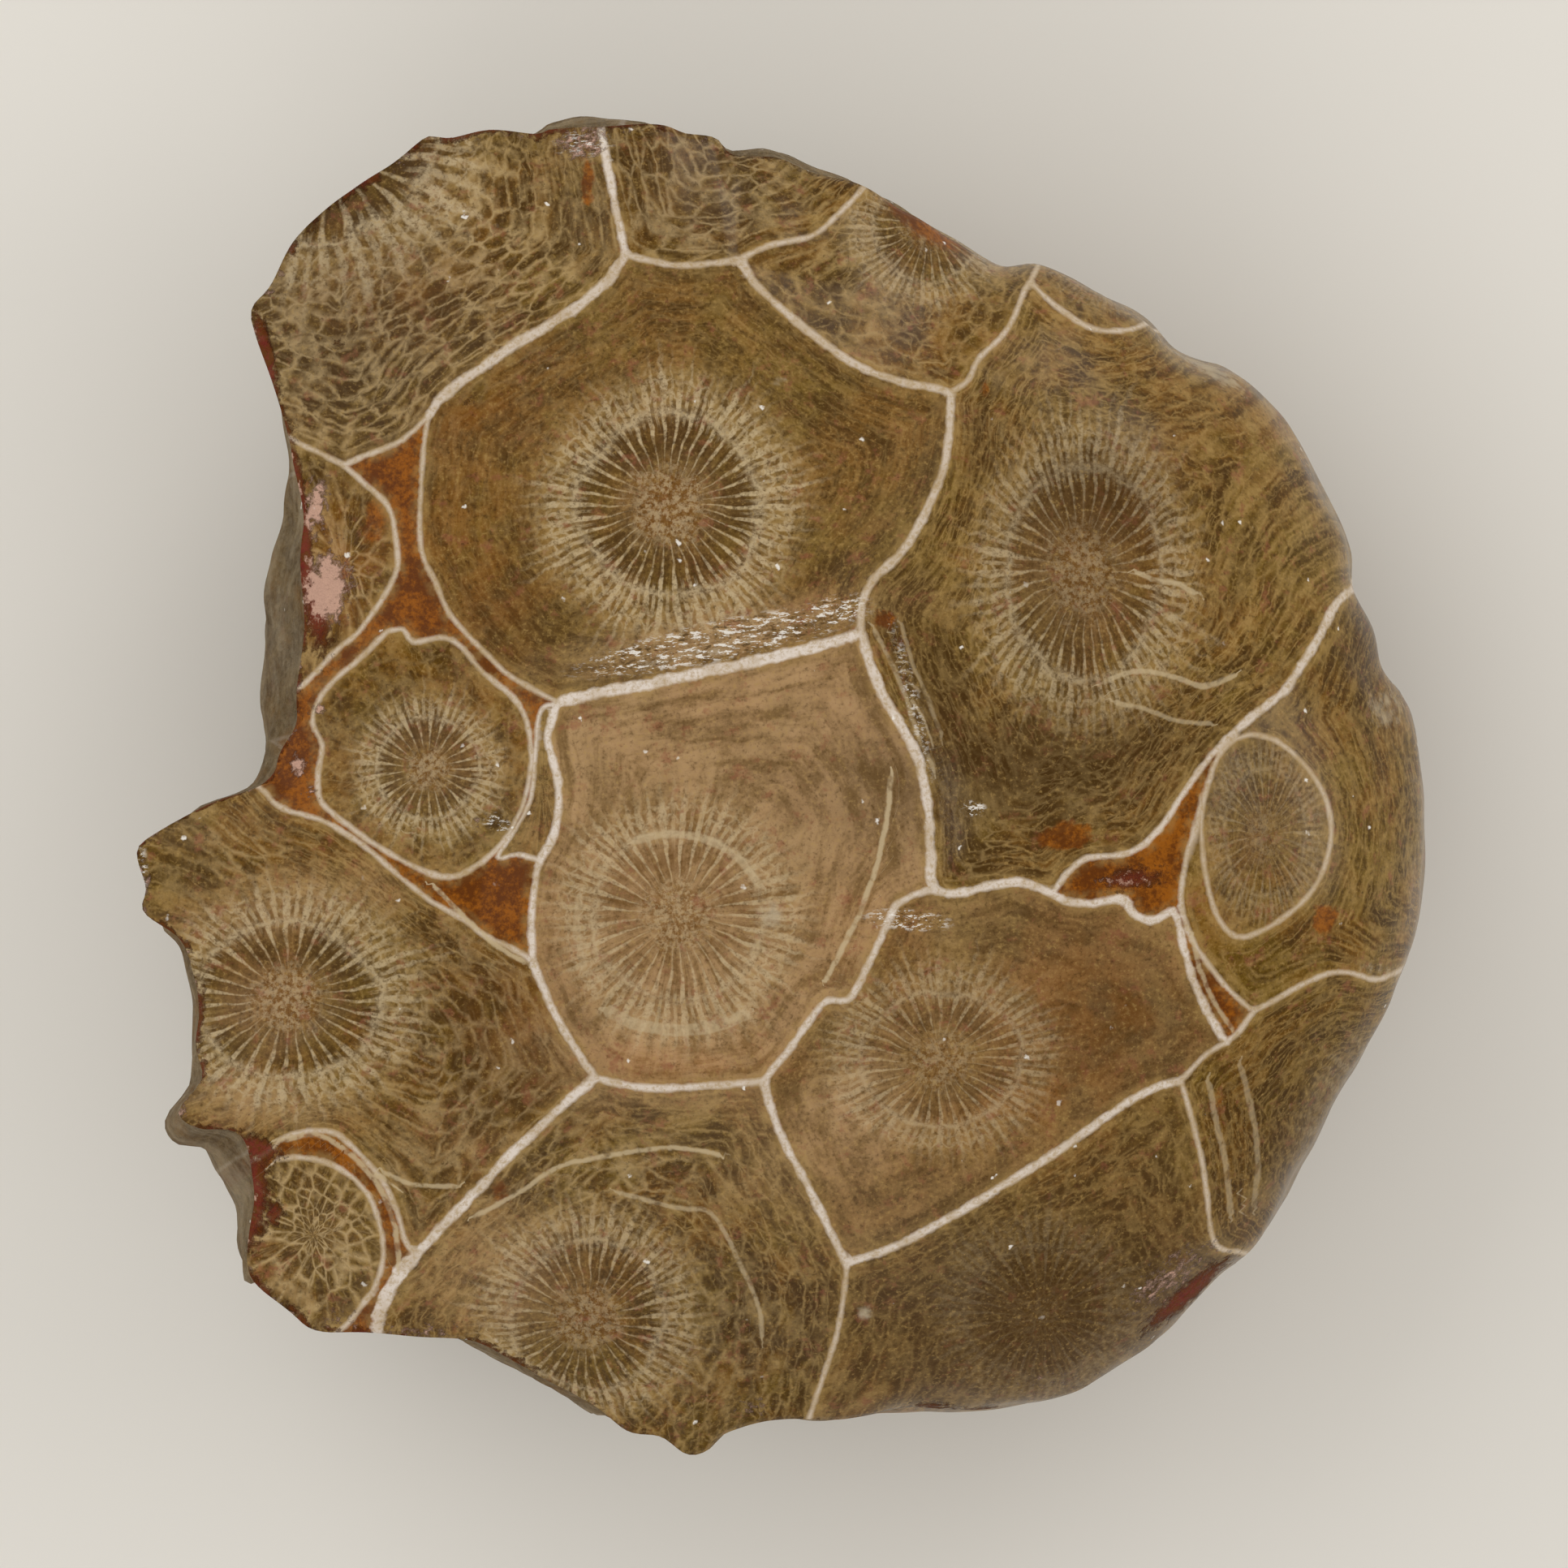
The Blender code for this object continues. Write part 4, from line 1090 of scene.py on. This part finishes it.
def cell_here(n):
    """The place and looks of the cell that each point is in: the one that it lies deepest in."""
    place, scale = n.attribute("cell_0"), n.attribute("cell_0", "Alpha")
    look, net = n.attribute("look_0"), n.attribute("look_0", "Alpha")
    for layer in range(1, LAYERS):
        other = n.attribute(f"cell_{layer}")
        deeper = n.math("GREATER_THAN", n.part(other, 2), n.part(place, 2))
        kept = 1.0 - deeper
        look = n.pick(deeper, look, n.attribute(f"look_{layer}"))
        net = net * kept + n.attribute(f"look_{layer}", "Alpha") * deeper
        scale = scale * kept + n.attribute(f"cell_{layer}", "Alpha") * deeper
        place = n.pick(deeper, place, other)
    return place, scale, n.part(look, 0), n.part(look, 1), n.part(look, 2) * MOST_SEPTA, net


def surface_fields(n):
    """Each point's cell, stains, painted shade, sheen, glare and glints, and the noises its parts share.
    """
    where = n.scaled(n.add("ShaderNodeTexCoord", output="Object"), 1 / MM)
    place, scale, milky_sheen, calyx, septa, net = cell_here(n)
    stains_and_glare = n.attribute("stains_and_glare", "Color")
    ground = n.attribute("ground", "Color")
    film_and_sheen = n.attribute("film_and_sheen")
    at = SimpleNamespace(
        where=where,
        height=n.part(where, 2),
        wall_gap=n.part(place, 2),
        milky_sheen=milky_sheen,
        calyx=calyx,
        septa=septa,
        scale=scale,
        net=net,
        orange=n.channel(stains_and_glare, 0),
        red=n.channel(stains_and_glare, 1),
        pink=n.channel(stains_and_glare, 2),
        chalk_and_glare=n.attribute("stains_and_glare", "Alpha"),
        painted_shade=n.channel(ground, 0),
        broken=n.channel(ground, 1),
        below=n.channel(ground, 2),
        glint=n.attribute("ground", "Alpha"),
        wall=n.attribute("wall"),
        milk_and_sheen=n.part(film_and_sheen, 0),
        warm=n.part(film_and_sheen, 1),
        coarse=n.part(film_and_sheen, 2),
        drift=n.noise(where, 0.30, 2.0, output="Color"),
        cloud=n.noise(where, 0.9, 3.0, 0.6),
        patchy=n.noise(where, 2.2, 3.0, 0.6),
        grain=n.noise(where, 6.5, 4.0, 0.72),
        crumbs=n.noise(where, 3.4, 4.0, 0.7),
    )

    # Polar place in the cell: radius 1 is the ring, and depth runs from 0 at the middle to 1 at the wall.
    sway = n.vector("SUBTRACT", at.drift, (0.5, 0.5, 0.5))
    shiver = n.vector("SUBTRACT", n.noise(where, 1.4, 3.0, 0.6, output="Color"), (0.5, 0.5, 0.5))
    flat = n.join(n.part(place, 0), n.part(place, 1), 0.0)
    loose = n.ramp(n.vector("LENGTH", flat, output=1), 0.9, 1.9, 0.05, 0.26)
    bent = n.vector("ADD", flat, n.vector("ADD", n.scaled(sway, 0.24), n.scaled(shiver, loose)))
    x, y = n.part(bent, 0), n.part(bent, 1)
    at.radius = n.math("SQRT", x * x + y * y)
    at.angle = n.math("ARCTAN2", y, x)
    inner = n.larger(at.wall_gap, 0.0)
    depth = at.radius / (at.radius + inner / 2.9)
    at.turn_x = x / n.larger(at.radius, 0.001)
    at.turn_y = y / n.larger(at.radius, 0.001)
    layers = n.math("MINIMUM", scale * scale * 20.0, 23.0)
    at.across = depth * layers + (at.height * 0.30 + n.part(shiver, 2) * 0.7)
    return at


def round_the_cell(n, at, turns, rows):
    """A place that is stretched round the cell, for noises that run along its walls."""
    return n.join(at.turn_x * turns, at.turn_y * turns, at.across * rows)


def calyx_pattern(n, at):
    """The septa, the small bars that join them past the ring, and how dark the gaps between them are."""
    fray = (n.noise(at.where, 1.8, 3.0, 0.6) - 0.5) * n.ramp(at.radius, 0.7, 1.7, 0.5, 3.2)
    swing = at.angle * (n.math("ROUND", at.septa) * 2.0) + fray
    wave = n.math("COSINE", swing) * 0.5 + 0.5
    longer = n.math("COSINE", swing * 0.5) * 0.5 + 0.5

    # Blades: thin inside, widest at the ring. Every other one stops short of the middle.
    narrow = n.ramp(at.radius, 0.45, 1.05, 0.58, 0.42) + n.ramp(at.radius, 1.10, 1.50, 0.0, 0.30)
    blade = n.share(wave - (narrow + (at.patchy - 0.5) * 0.45), 0.35)
    start = 0.84 - longer * 0.46 + (at.cloud - 0.5) * 0.4
    fade_in = n.ramp(at.radius - start, -0.06, 0.12)
    length = n.noise(n.join(at.turn_x * 5.0, at.turn_y * 5.0, at.septa), 1.0, 2.0, 0.6)
    fade_out = n.ramp(at.radius - (0.72 + length * 1.40), -0.30, 0.30, 1.0, 0.0)
    breakup = n.ramp(n.noise(at.where, 2.9, 3.0, 0.7), 0.34, 0.58, 0.30, 1.0)
    slim = n.ramp(at.radius, 0.45, 1.05, 0.86, 0.60) + n.ramp(at.radius, 1.10, 1.50, 0.0, 0.25)
    bold = longer - (slim + (at.patchy - 0.5) * 0.30)
    bold = n.share(bold, 0.22) * n.ramp(at.radius, 0.30, 0.52)
    blades = n.larger(blade * fade_in * 0.75, bold)
    ribs = blades * (fade_out * breakup)

    # Bars across, just past the ring: they leave rows of dark beads between the septa.
    rows = at.radius * 7.0 + (longer * 0.5 + (at.patchy - 0.5) * 1.8)
    bars = 1.0 - n.math("PINGPONG", rows, 0.5) / 0.26
    beaded = n.ramp(at.radius, 0.96, 1.06) * n.ramp(at.radius, 1.22, 1.50, 1.0, 0.0)
    bars = n.larger(bars, 0.0) * (beaded * n.ramp(at.cloud, 0.38, 0.56, 0.25, 1.0))

    # One thin, broken circle ties the septa together.
    arc = (at.radius - (0.95 + (at.cloud - 0.5) * 0.25)) / 0.045
    arc = n.math("EXPONENT", arc * arc * -1.0) * n.ramp(at.patchy, 0.36, 0.56, 0.25, 0.95)
    cage = n.larger(n.larger(ribs, arc), bars * 0.8) * at.calyx

    # The gaps between the septa are darkest inside the ring and towards the top of the photograph.
    groove = n.ramp(at.radius, 0.36, 0.56) * n.ramp(at.radius, 1.12, 1.42, 1.0, 0.0)
    filled = n.larger(blades, bars)
    gaps = (1.0 - filled) * n.ramp(at.cloud, 0.40, 0.62, 0.80, 0.30)
    gaps = gaps * n.ramp(at.turn_y, -0.8, 0.8, 0.60, 1.10)
    return cage, groove * gaps * at.calyx


def strands(n, at, count, wander, seed):
    """Thin wavy lines round the cell, some of them broken off, and how near each point is to one."""
    stretched = n.vector("ADD", round_the_cell(n, at, 4.6, 0.09), seed)
    phase = at.across * count + n.noise(stretched, 1.0, 1.0, 0.4) * wander
    gap = n.math("PINGPONG", phase, 0.5)
    strength = n.ramp(n.noise(n.vector("ADD", at.where, seed), 1.3, 3.0, 0.6), 0.36, 0.60, 0.15, 1.0)
    line = n.near(gap, 0.17) * strength
    near = n.near(gap, 0.42) * strength
    return line, near


def crossed_strands(n, at, sets):
    """Sets of strands laid over each other: their lines, and the gaps that are left between them."""
    lines, near = strands(n, at, *sets[0])
    for more in sets[1:]:
        line, close = strands(n, at, *more)
        lines, near = n.larger(lines, line), n.larger(near, close)
    return lines, n.ramp(near, 0.70, 0.15)


def bubbles(n, at, fineness, turning, thin, bold, seed):
    """A net of flattened bubbles round the cell: its lines, and the hollows inside it."""
    turns = at.scale * (turning * fineness)
    stretched = n.join(at.turn_x * turns, at.turn_y * turns, at.across * fineness)
    gap = n.cracks(n.vector("ADD", stretched, seed))
    thick = n.ramp(at.cloud, 0.38, 0.62, thin, bold)
    return n.near(gap, thick), n.ramp(gap, 0.10, 0.42)


def net_pattern(n, at):
    """The net of tissue: bubbles and strands round the cell, coarse in some cells and fine in the rest."""
    coarse, coarse_gaps = bubbles(n, at, 0.90, 6.5, 0.12, 0.24, (3, 1, 4))
    fine, fine_gaps = bubbles(n, at, 1.30, 4.2, 0.10, 0.24, (6, 25, 8))
    waves, wave_gaps = crossed_strands(n, at, [(0.80, 5.6, (15, 9, 2)), (1.35, 6.5, (11, 3, 19))])
    size = n.ramp(at.coarse + (at.cloud - 0.5) * 0.5, 0.20, 0.60)
    rest = 1.0 - size
    lace = coarse * size + fine * 0.85 * rest
    lace = n.larger(lace, waves * (0.32 + rest * 0.34))
    gaps = coarse_gaps * size + fine_gaps * 0.8 * rest
    gaps = gaps * (0.75 + wave_gaps * 0.25)
    outside = n.ramp(at.radius + (at.patchy - 0.5) * 0.5, 1.02, 1.38)
    outside = n.larger(outside, 1.0 - at.calyx)
    shown = outside * at.net
    return lace * shown, gaps * shown


def tissue_colour(n, at, colour):
    """The inside of a cell: brown to olive tissue, with its net, its septa, its milky film with a painted
    sheen and its painted shade.
    """
    cage, gaps = calyx_pattern(n, at)
    lace, pits = net_pattern(n, at)
    rays = n.noise(n.join(at.turn_x * 12.0, at.turn_y * 12.0, at.radius * 1.2), 1.0, 3.0, 0.6)
    bands = n.noise(round_the_cell(n, at, 2.6, 0.85), 1.0, 3.0, 0.65)
    outward = n.ramp(at.radius, 1.1, 2.1, 0.65, 0.15)
    fibres = rays * outward + bands * (1.0 - outward)
    mottle = fibres * 0.55 + (at.cloud * 0.20 + at.grain * 0.25)

    # Brown, olive, umber and mossy tissue, darkened between its fibres and in the net's hollows.
    body = n.mix(n.ramp(n.channel(at.drift, 0), 0.42, 0.58), colour["tissue"], colour["olive"])
    body = n.mix(n.ramp(n.noise(at.where, 0.65, 3.0, 0.6), 0.50, 0.66, 0.0, 0.55), body, colour["umber"])
    mossy = n.noise(n.vector("ADD", at.where, (7, 3, 5)), 0.8, 3.0, 0.65)
    body = n.mix(n.ramp(mossy, 0.52, 0.68, 0.0, 0.50), body, colour["moss"])
    # Painted shade: the shade patches take light out of the tissue's mottle.
    shade = n.math("SUBTRACT", n.ramp(mottle, 0.40, 0.60), at.painted_shade * 0.75, clamp=True)
    tissue = n.mix(0.12 + shade * 0.88, colour["gap"], body)
    tissue = n.mix(n.ramp(mottle, 0.54, 0.68) * 0.38, tissue, colour["line"])
    tissue = n.mix(pits * n.ramp(at.cloud, 0.34, 0.60, 0.95, 0.55), tissue, colour["gap"])

    # A pale glow round the ring, and the net's lines.
    glow = n.ramp(at.radius, 0.90, 1.10) * n.ramp(at.radius, 1.18, 1.65, 1.0, 0.0)
    glow = glow * at.calyx * n.ramp(at.patchy, 0.36, 0.62, 0.12, 0.58)
    tissue = n.mix(gaps, tissue, colour["gap"])
    tissue = n.mix(glow, tissue, colour["line"])
    thread = n.mix(at.coarse * 0.5, colour["line"], colour["ring"])
    tissue = n.mix(lace * n.ramp(at.patchy, 0.34, 0.60, 0.45, 0.95), tissue, thread)

    # The milky film, partly a painted sheen, hides the tissue but lets its fibres through. The septa show
    # on top of it.
    milk_and_sheen = n.larger(at.milky_sheen, at.milk_and_sheen)
    film_and_sheen = n.mix(n.ramp(fibres * 0.8 + at.grain * 0.2, 0.38, 0.60), colour["milky_sheen_low"], colour["milky_sheen"])
    tissue = n.mix(milk_and_sheen * n.ramp(at.cloud, 0.32, 0.60, 0.75, 1.0), tissue, film_and_sheen)
    tissue = n.mix(gaps * milk_and_sheen * 0.80, tissue, colour["umber"])
    tissue = n.mix(at.warm * n.ramp(at.cloud, 0.34, 0.60, 0.15, 0.70), tissue, colour["orange"])
    tissue = n.mix(cage * n.ramp(at.grain, 0.36, 0.60, 0.45, 0.85), tissue, colour["ring"])

    # The middle: a mottled, hazy disc with no sharp edge.
    disc = n.ramp(at.radius + (at.patchy - 0.5) * 0.7, 0.22, 0.56, 1.0, 0.0)
    speckle = n.mix(n.ramp(n.noise(at.where, 4.6, 3.0, 0.75), 0.40, 0.60), colour["umber"], colour["axis"])
    tissue = n.mix(disc * at.calyx * 0.72, tissue, speckle)
    blush = n.noise(n.vector("ADD", at.where, (5, 2, 8)), 1.5, 3.0, 0.72)
    tissue = n.mix(n.ramp(blush, 0.56, 0.72, 0.0, 0.55), tissue, colour["blush"])
    # More painted shade: the shade patches pull the tissue towards the gap colour.
    tissue = n.mix(at.painted_shade * 0.60, tissue, colour["gap"])
    tissue = n.mix(n.ramp(at.grain, 0.53, 0.70, 0.0, 0.50), tissue, colour["line"])
    speck = n.ramp(at.grain, 0.47, 0.30, 0.0, 0.60) * (1.0 - milk_and_sheen * 0.45)
    return n.mix(speck, tissue, colour["gap"])


def wall_marks(n, at, colour, surface):
    """Draws the cells' walls and the thin veins over the surface."""
    wall = at.wall
    wobble = n.noise(at.where, 1.6, 3.0, 0.6) - 0.5
    ragged = at.grain - 0.5
    half = n.part(wall, 0) * (0.90 + wobble * 1.6)
    edge = abs(at.wall_gap + (at.patchy - 0.5) * 0.07)
    edge = edge + ragged * 0.12
    mask = n.share(half + 0.055 - edge, 0.095)
    white = n.mix(n.part(wall, 1), colour["line"], colour["wall"])
    white = n.mix(n.ramp(at.grain, 0.56, 0.34, 0.0, 0.55), white, colour["line"])
    white = n.mix(n.ramp(at.cloud, 0.54, 0.36, 0.0, 0.35), white, colour["line"])
    shoulder = n.share(half + 0.34 - edge, 0.34)
    surface = n.mix(shoulder * n.ramp(at.patchy, 0.38, 0.64, 0.05, 0.55), surface, colour["line"])
    surface = n.mix(mask * 0.94, surface, white)

    vein = n.attribute("vein")
    gap = abs(n.part(vein, 0) + wobble * 0.16)
    gap = gap + ragged * 0.10
    line = n.share(n.part(vein, 2) + 0.05 - gap, 0.06)
    line = line * n.ramp(at.patchy, 0.34, 0.50, 0.35, 1.0)
    return n.mix(line * n.part(vein, 1), surface, colour["ring"])


def coral_material():
    """Fossil coral, polished on its face, from the fields that the mesh carries."""
    material = bpy.data.materials.new("polished_coral_pattern")
    material.use_nodes = True
    n = Nodes(material.node_tree)
    shader = material.node_tree.nodes["Principled BSDF"]
    colour = {name: linear(name) for name in PALETTE}
    at = surface_fields(n)

    # Orange infill lies between the cells, and in patches in the tissue.
    rust = n.mix(n.ramp(at.cloud * 0.5 + at.grain * 0.5, 0.43, 0.61), colour["rust"], colour["orange"])
    surface = n.mix(n.ramp(at.wall_gap, -0.02, -0.06), tissue_colour(n, at, colour), rust)
    ragged = (at.patchy - 0.5) * 0.8
    surface = n.mix(n.ramp(at.orange + ragged, 0.40, 0.66, 0.0, 0.9), surface, rust)
    surface = wall_marks(n, at, colour, surface)

    # The bare broken sides, with red and pink crusts along their upper edge, and here and there pale
    # patches that are partly chalk and partly painted glare.
    crumbs = at.crumbs - 0.5
    clay = n.mix(n.ramp(at.crumbs, 0.34, 0.66, 0.40, 1.0), colour["gap"], colour["clay"])
    beds = n.noise(n.vector("MULTIPLY", at.where, (0.25, 0.25, 1.1)), 1.0, 4.0, 0.65)
    clay = n.mix(n.ramp(beds, 0.40, 0.66, 0.0, 0.40), clay, colour["chalk_and_glare"])
    clay = n.mix(n.ramp(at.cloud, 0.52, 0.70, 0.0, 0.35), clay, colour["umber"])
    rim_band = n.ramp(at.below, 0.02, 0.26, 1.0, 0.0) * n.ramp(at.broken, 0.2, 0.8)
    surface = n.mix(n.ramp(at.broken, 0.25, 0.75) * 0.78, surface, clay)
    rim_band = n.larger(rim_band, n.part(at.wall, 2))
    red = n.larger(at.red, rim_band * n.ramp(at.cloud, 0.40, 0.60, 0.25, 0.75))
    pink = n.larger(at.pink, rim_band * n.ramp(at.cloud, 0.60, 0.40, 0.0, 0.55))
    crust = n.mix(n.ramp(at.crumbs, 0.40, 0.62), colour["red"], colour["rust"])
    red_mask = n.ramp(red + crumbs * 1.1, 0.42, 0.70, 0.0, 0.90)
    pink_mask = n.ramp(pink + crumbs * 1.6, 0.45, 0.75, 0.0, 0.9)
    chalk_and_glare_mask = n.ramp(at.chalk_and_glare + (at.patchy - 0.5) * 0.8, 0.35, 0.85, 0.0, 0.75)
    surface = n.mix(red_mask, surface, crust)
    surface = n.mix(pink_mask, surface, colour["pink"])
    surface = n.mix(chalk_and_glare_mask, surface, colour["chalk_and_glare"])

    # White flecks, partly crystal and partly painted glints: a few over the face, and many painted glint
    # streaks, with dark specks between them, where the surface is left pitted.
    spot = n.vector("ADD", at.where, n.scaled(n.noise(at.where, 4.0, 2.0, output="Color"), 0.35))
    rare = n.ramp(n.channel(n.blobs(spot, 1.9, output="Color"), 0), 0.94, 0.97)
    sparkle = n.noise(n.vector("MULTIPLY", at.where, (2.0, 6.5, 6.0)), 1.0, 3.0, 0.8)
    pitted_glints = n.ramp(at.glint, 0.25, 0.60) * n.ramp(sparkle, 0.53, 0.60)
    fleck_and_glint = n.larger(n.ramp(n.blobs(spot, 1.9), 0.20, 0.08) * rare, pitted_glints)
    hole = n.ramp(at.glint, 0.25, 0.60) * n.ramp(sparkle, 0.44, 0.34)
    surface = n.mix(hole * 0.8, surface, colour["gap"])
    surface = n.mix(fleck_and_glint * 0.85, surface, colour["fleck_and_glint"])

    raw = n.larger(n.ramp(at.broken, 0.2, 0.8), n.larger(red_mask, pink_mask))
    gloss = FACE_ROUGHNESS + at.patchy * ROUGHNESS_SPREAD
    gloss = gloss + (raw * RAW_ROUGHNESS + chalk_and_glare_mask * CHALK_AND_GLARE_ROUGHNESS)
    n.connect(surface, shader.inputs["Base Color"])
    n.connect(n.math("MINIMUM", gloss, 0.9), shader.inputs["Roughness"])
    shader.inputs["Specular IOR Level"].default_value = SPECULAR
    shader.inputs["Metallic"].default_value = 0.0

    relief = at.grain * GRAIN_BUMP + at.crumbs * raw * CRUST_BUMP
    relief = relief + sparkle * at.glint * PIT_BUMP
    relief = relief + at.patchy * PATCHY_BUMP
    bump = n.add("ShaderNodeBump", ("Height", relief), ("Strength", 1.0), ("Distance", MM))
    n.connect(bump, shader.inputs["Normal"])
    return material


def plain_material(name, tone, roughness):
    """A plain material for the floor."""
    material = bpy.data.materials.new(name)
    material.use_nodes = True
    shader = material.node_tree.nodes["Principled BSDF"]
    shader.inputs["Base Color"].default_value = tone
    shader.inputs["Roughness"].default_value = roughness
    return material


def studio_floor():
    """A plain pale floor under the stone."""
    mesh = bpy.data.meshes.new("floor")
    signs = ((-1, -1), (1, -1), (1, 1), (-1, 1))
    corners = [(x * FLOOR_HALF, y * FLOOR_HALF, -FLOOR_GAP) for x, y in signs]
    mesh.from_pydata(corners, [], [(0, 1, 2, 3)])
    mesh.materials.append(plain_material("pale_floor", linear("floor"), 0.8))
    floor = bpy.data.objects.new("floor", mesh)
    bpy.context.scene.collection.objects.link(floor)


def soft_light(name, place, size, power):
    """A square softbox that faces the stone."""
    light = bpy.data.lights.new(name, "AREA")
    light.shape = "SQUARE"
    light.size = size
    light.energy = power
    lamp = bpy.data.objects.new(name, light)
    lamp.location = place
    lamp.rotation_euler = (Vector((0, 0, 0.01)) - Vector(place)).to_track_quat("-Z", "Y").to_euler()
    bpy.context.scene.collection.objects.link(lamp)


def studio():
    """Soft daylight-like studio light, and the camera straight above."""
    for name, place, size, power in SOFTBOXES:
        soft_light(name, place, size, power)
    world = bpy.data.worlds.new("studio")
    world.use_nodes = True
    background = world.node_tree.nodes["Background"]
    background.inputs["Color"].default_value = (1.0, 0.985, 0.96, 1.0)
    background.inputs["Strength"].default_value = WORLD_STRENGTH
    bpy.context.scene.world = world
    bpy.context.scene.view_settings.view_transform = "Standard"

    camera = bpy.data.cameras.new("camera")
    camera.sensor_width = 36.0
    camera.lens = camera.sensor_width * (CAMERA_HEIGHT - RIM_HEIGHT) / FRAME_WIDTH
    camera.clip_end = 10.0
    eye = bpy.data.objects.new("camera", camera)
    eye.location = (0.0, 0.0, CAMERA_HEIGHT)
    bpy.context.scene.collection.objects.link(eye)
    bpy.context.scene.camera = eye


def main():
    """The stone in its pattern, the floor, the light and the camera."""
    piece = stone_piece()
    piece.data.materials.append(coral_material())
    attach(piece, "root")
    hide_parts("petoskey_stone")
    studio_floor()
    studio()


main()
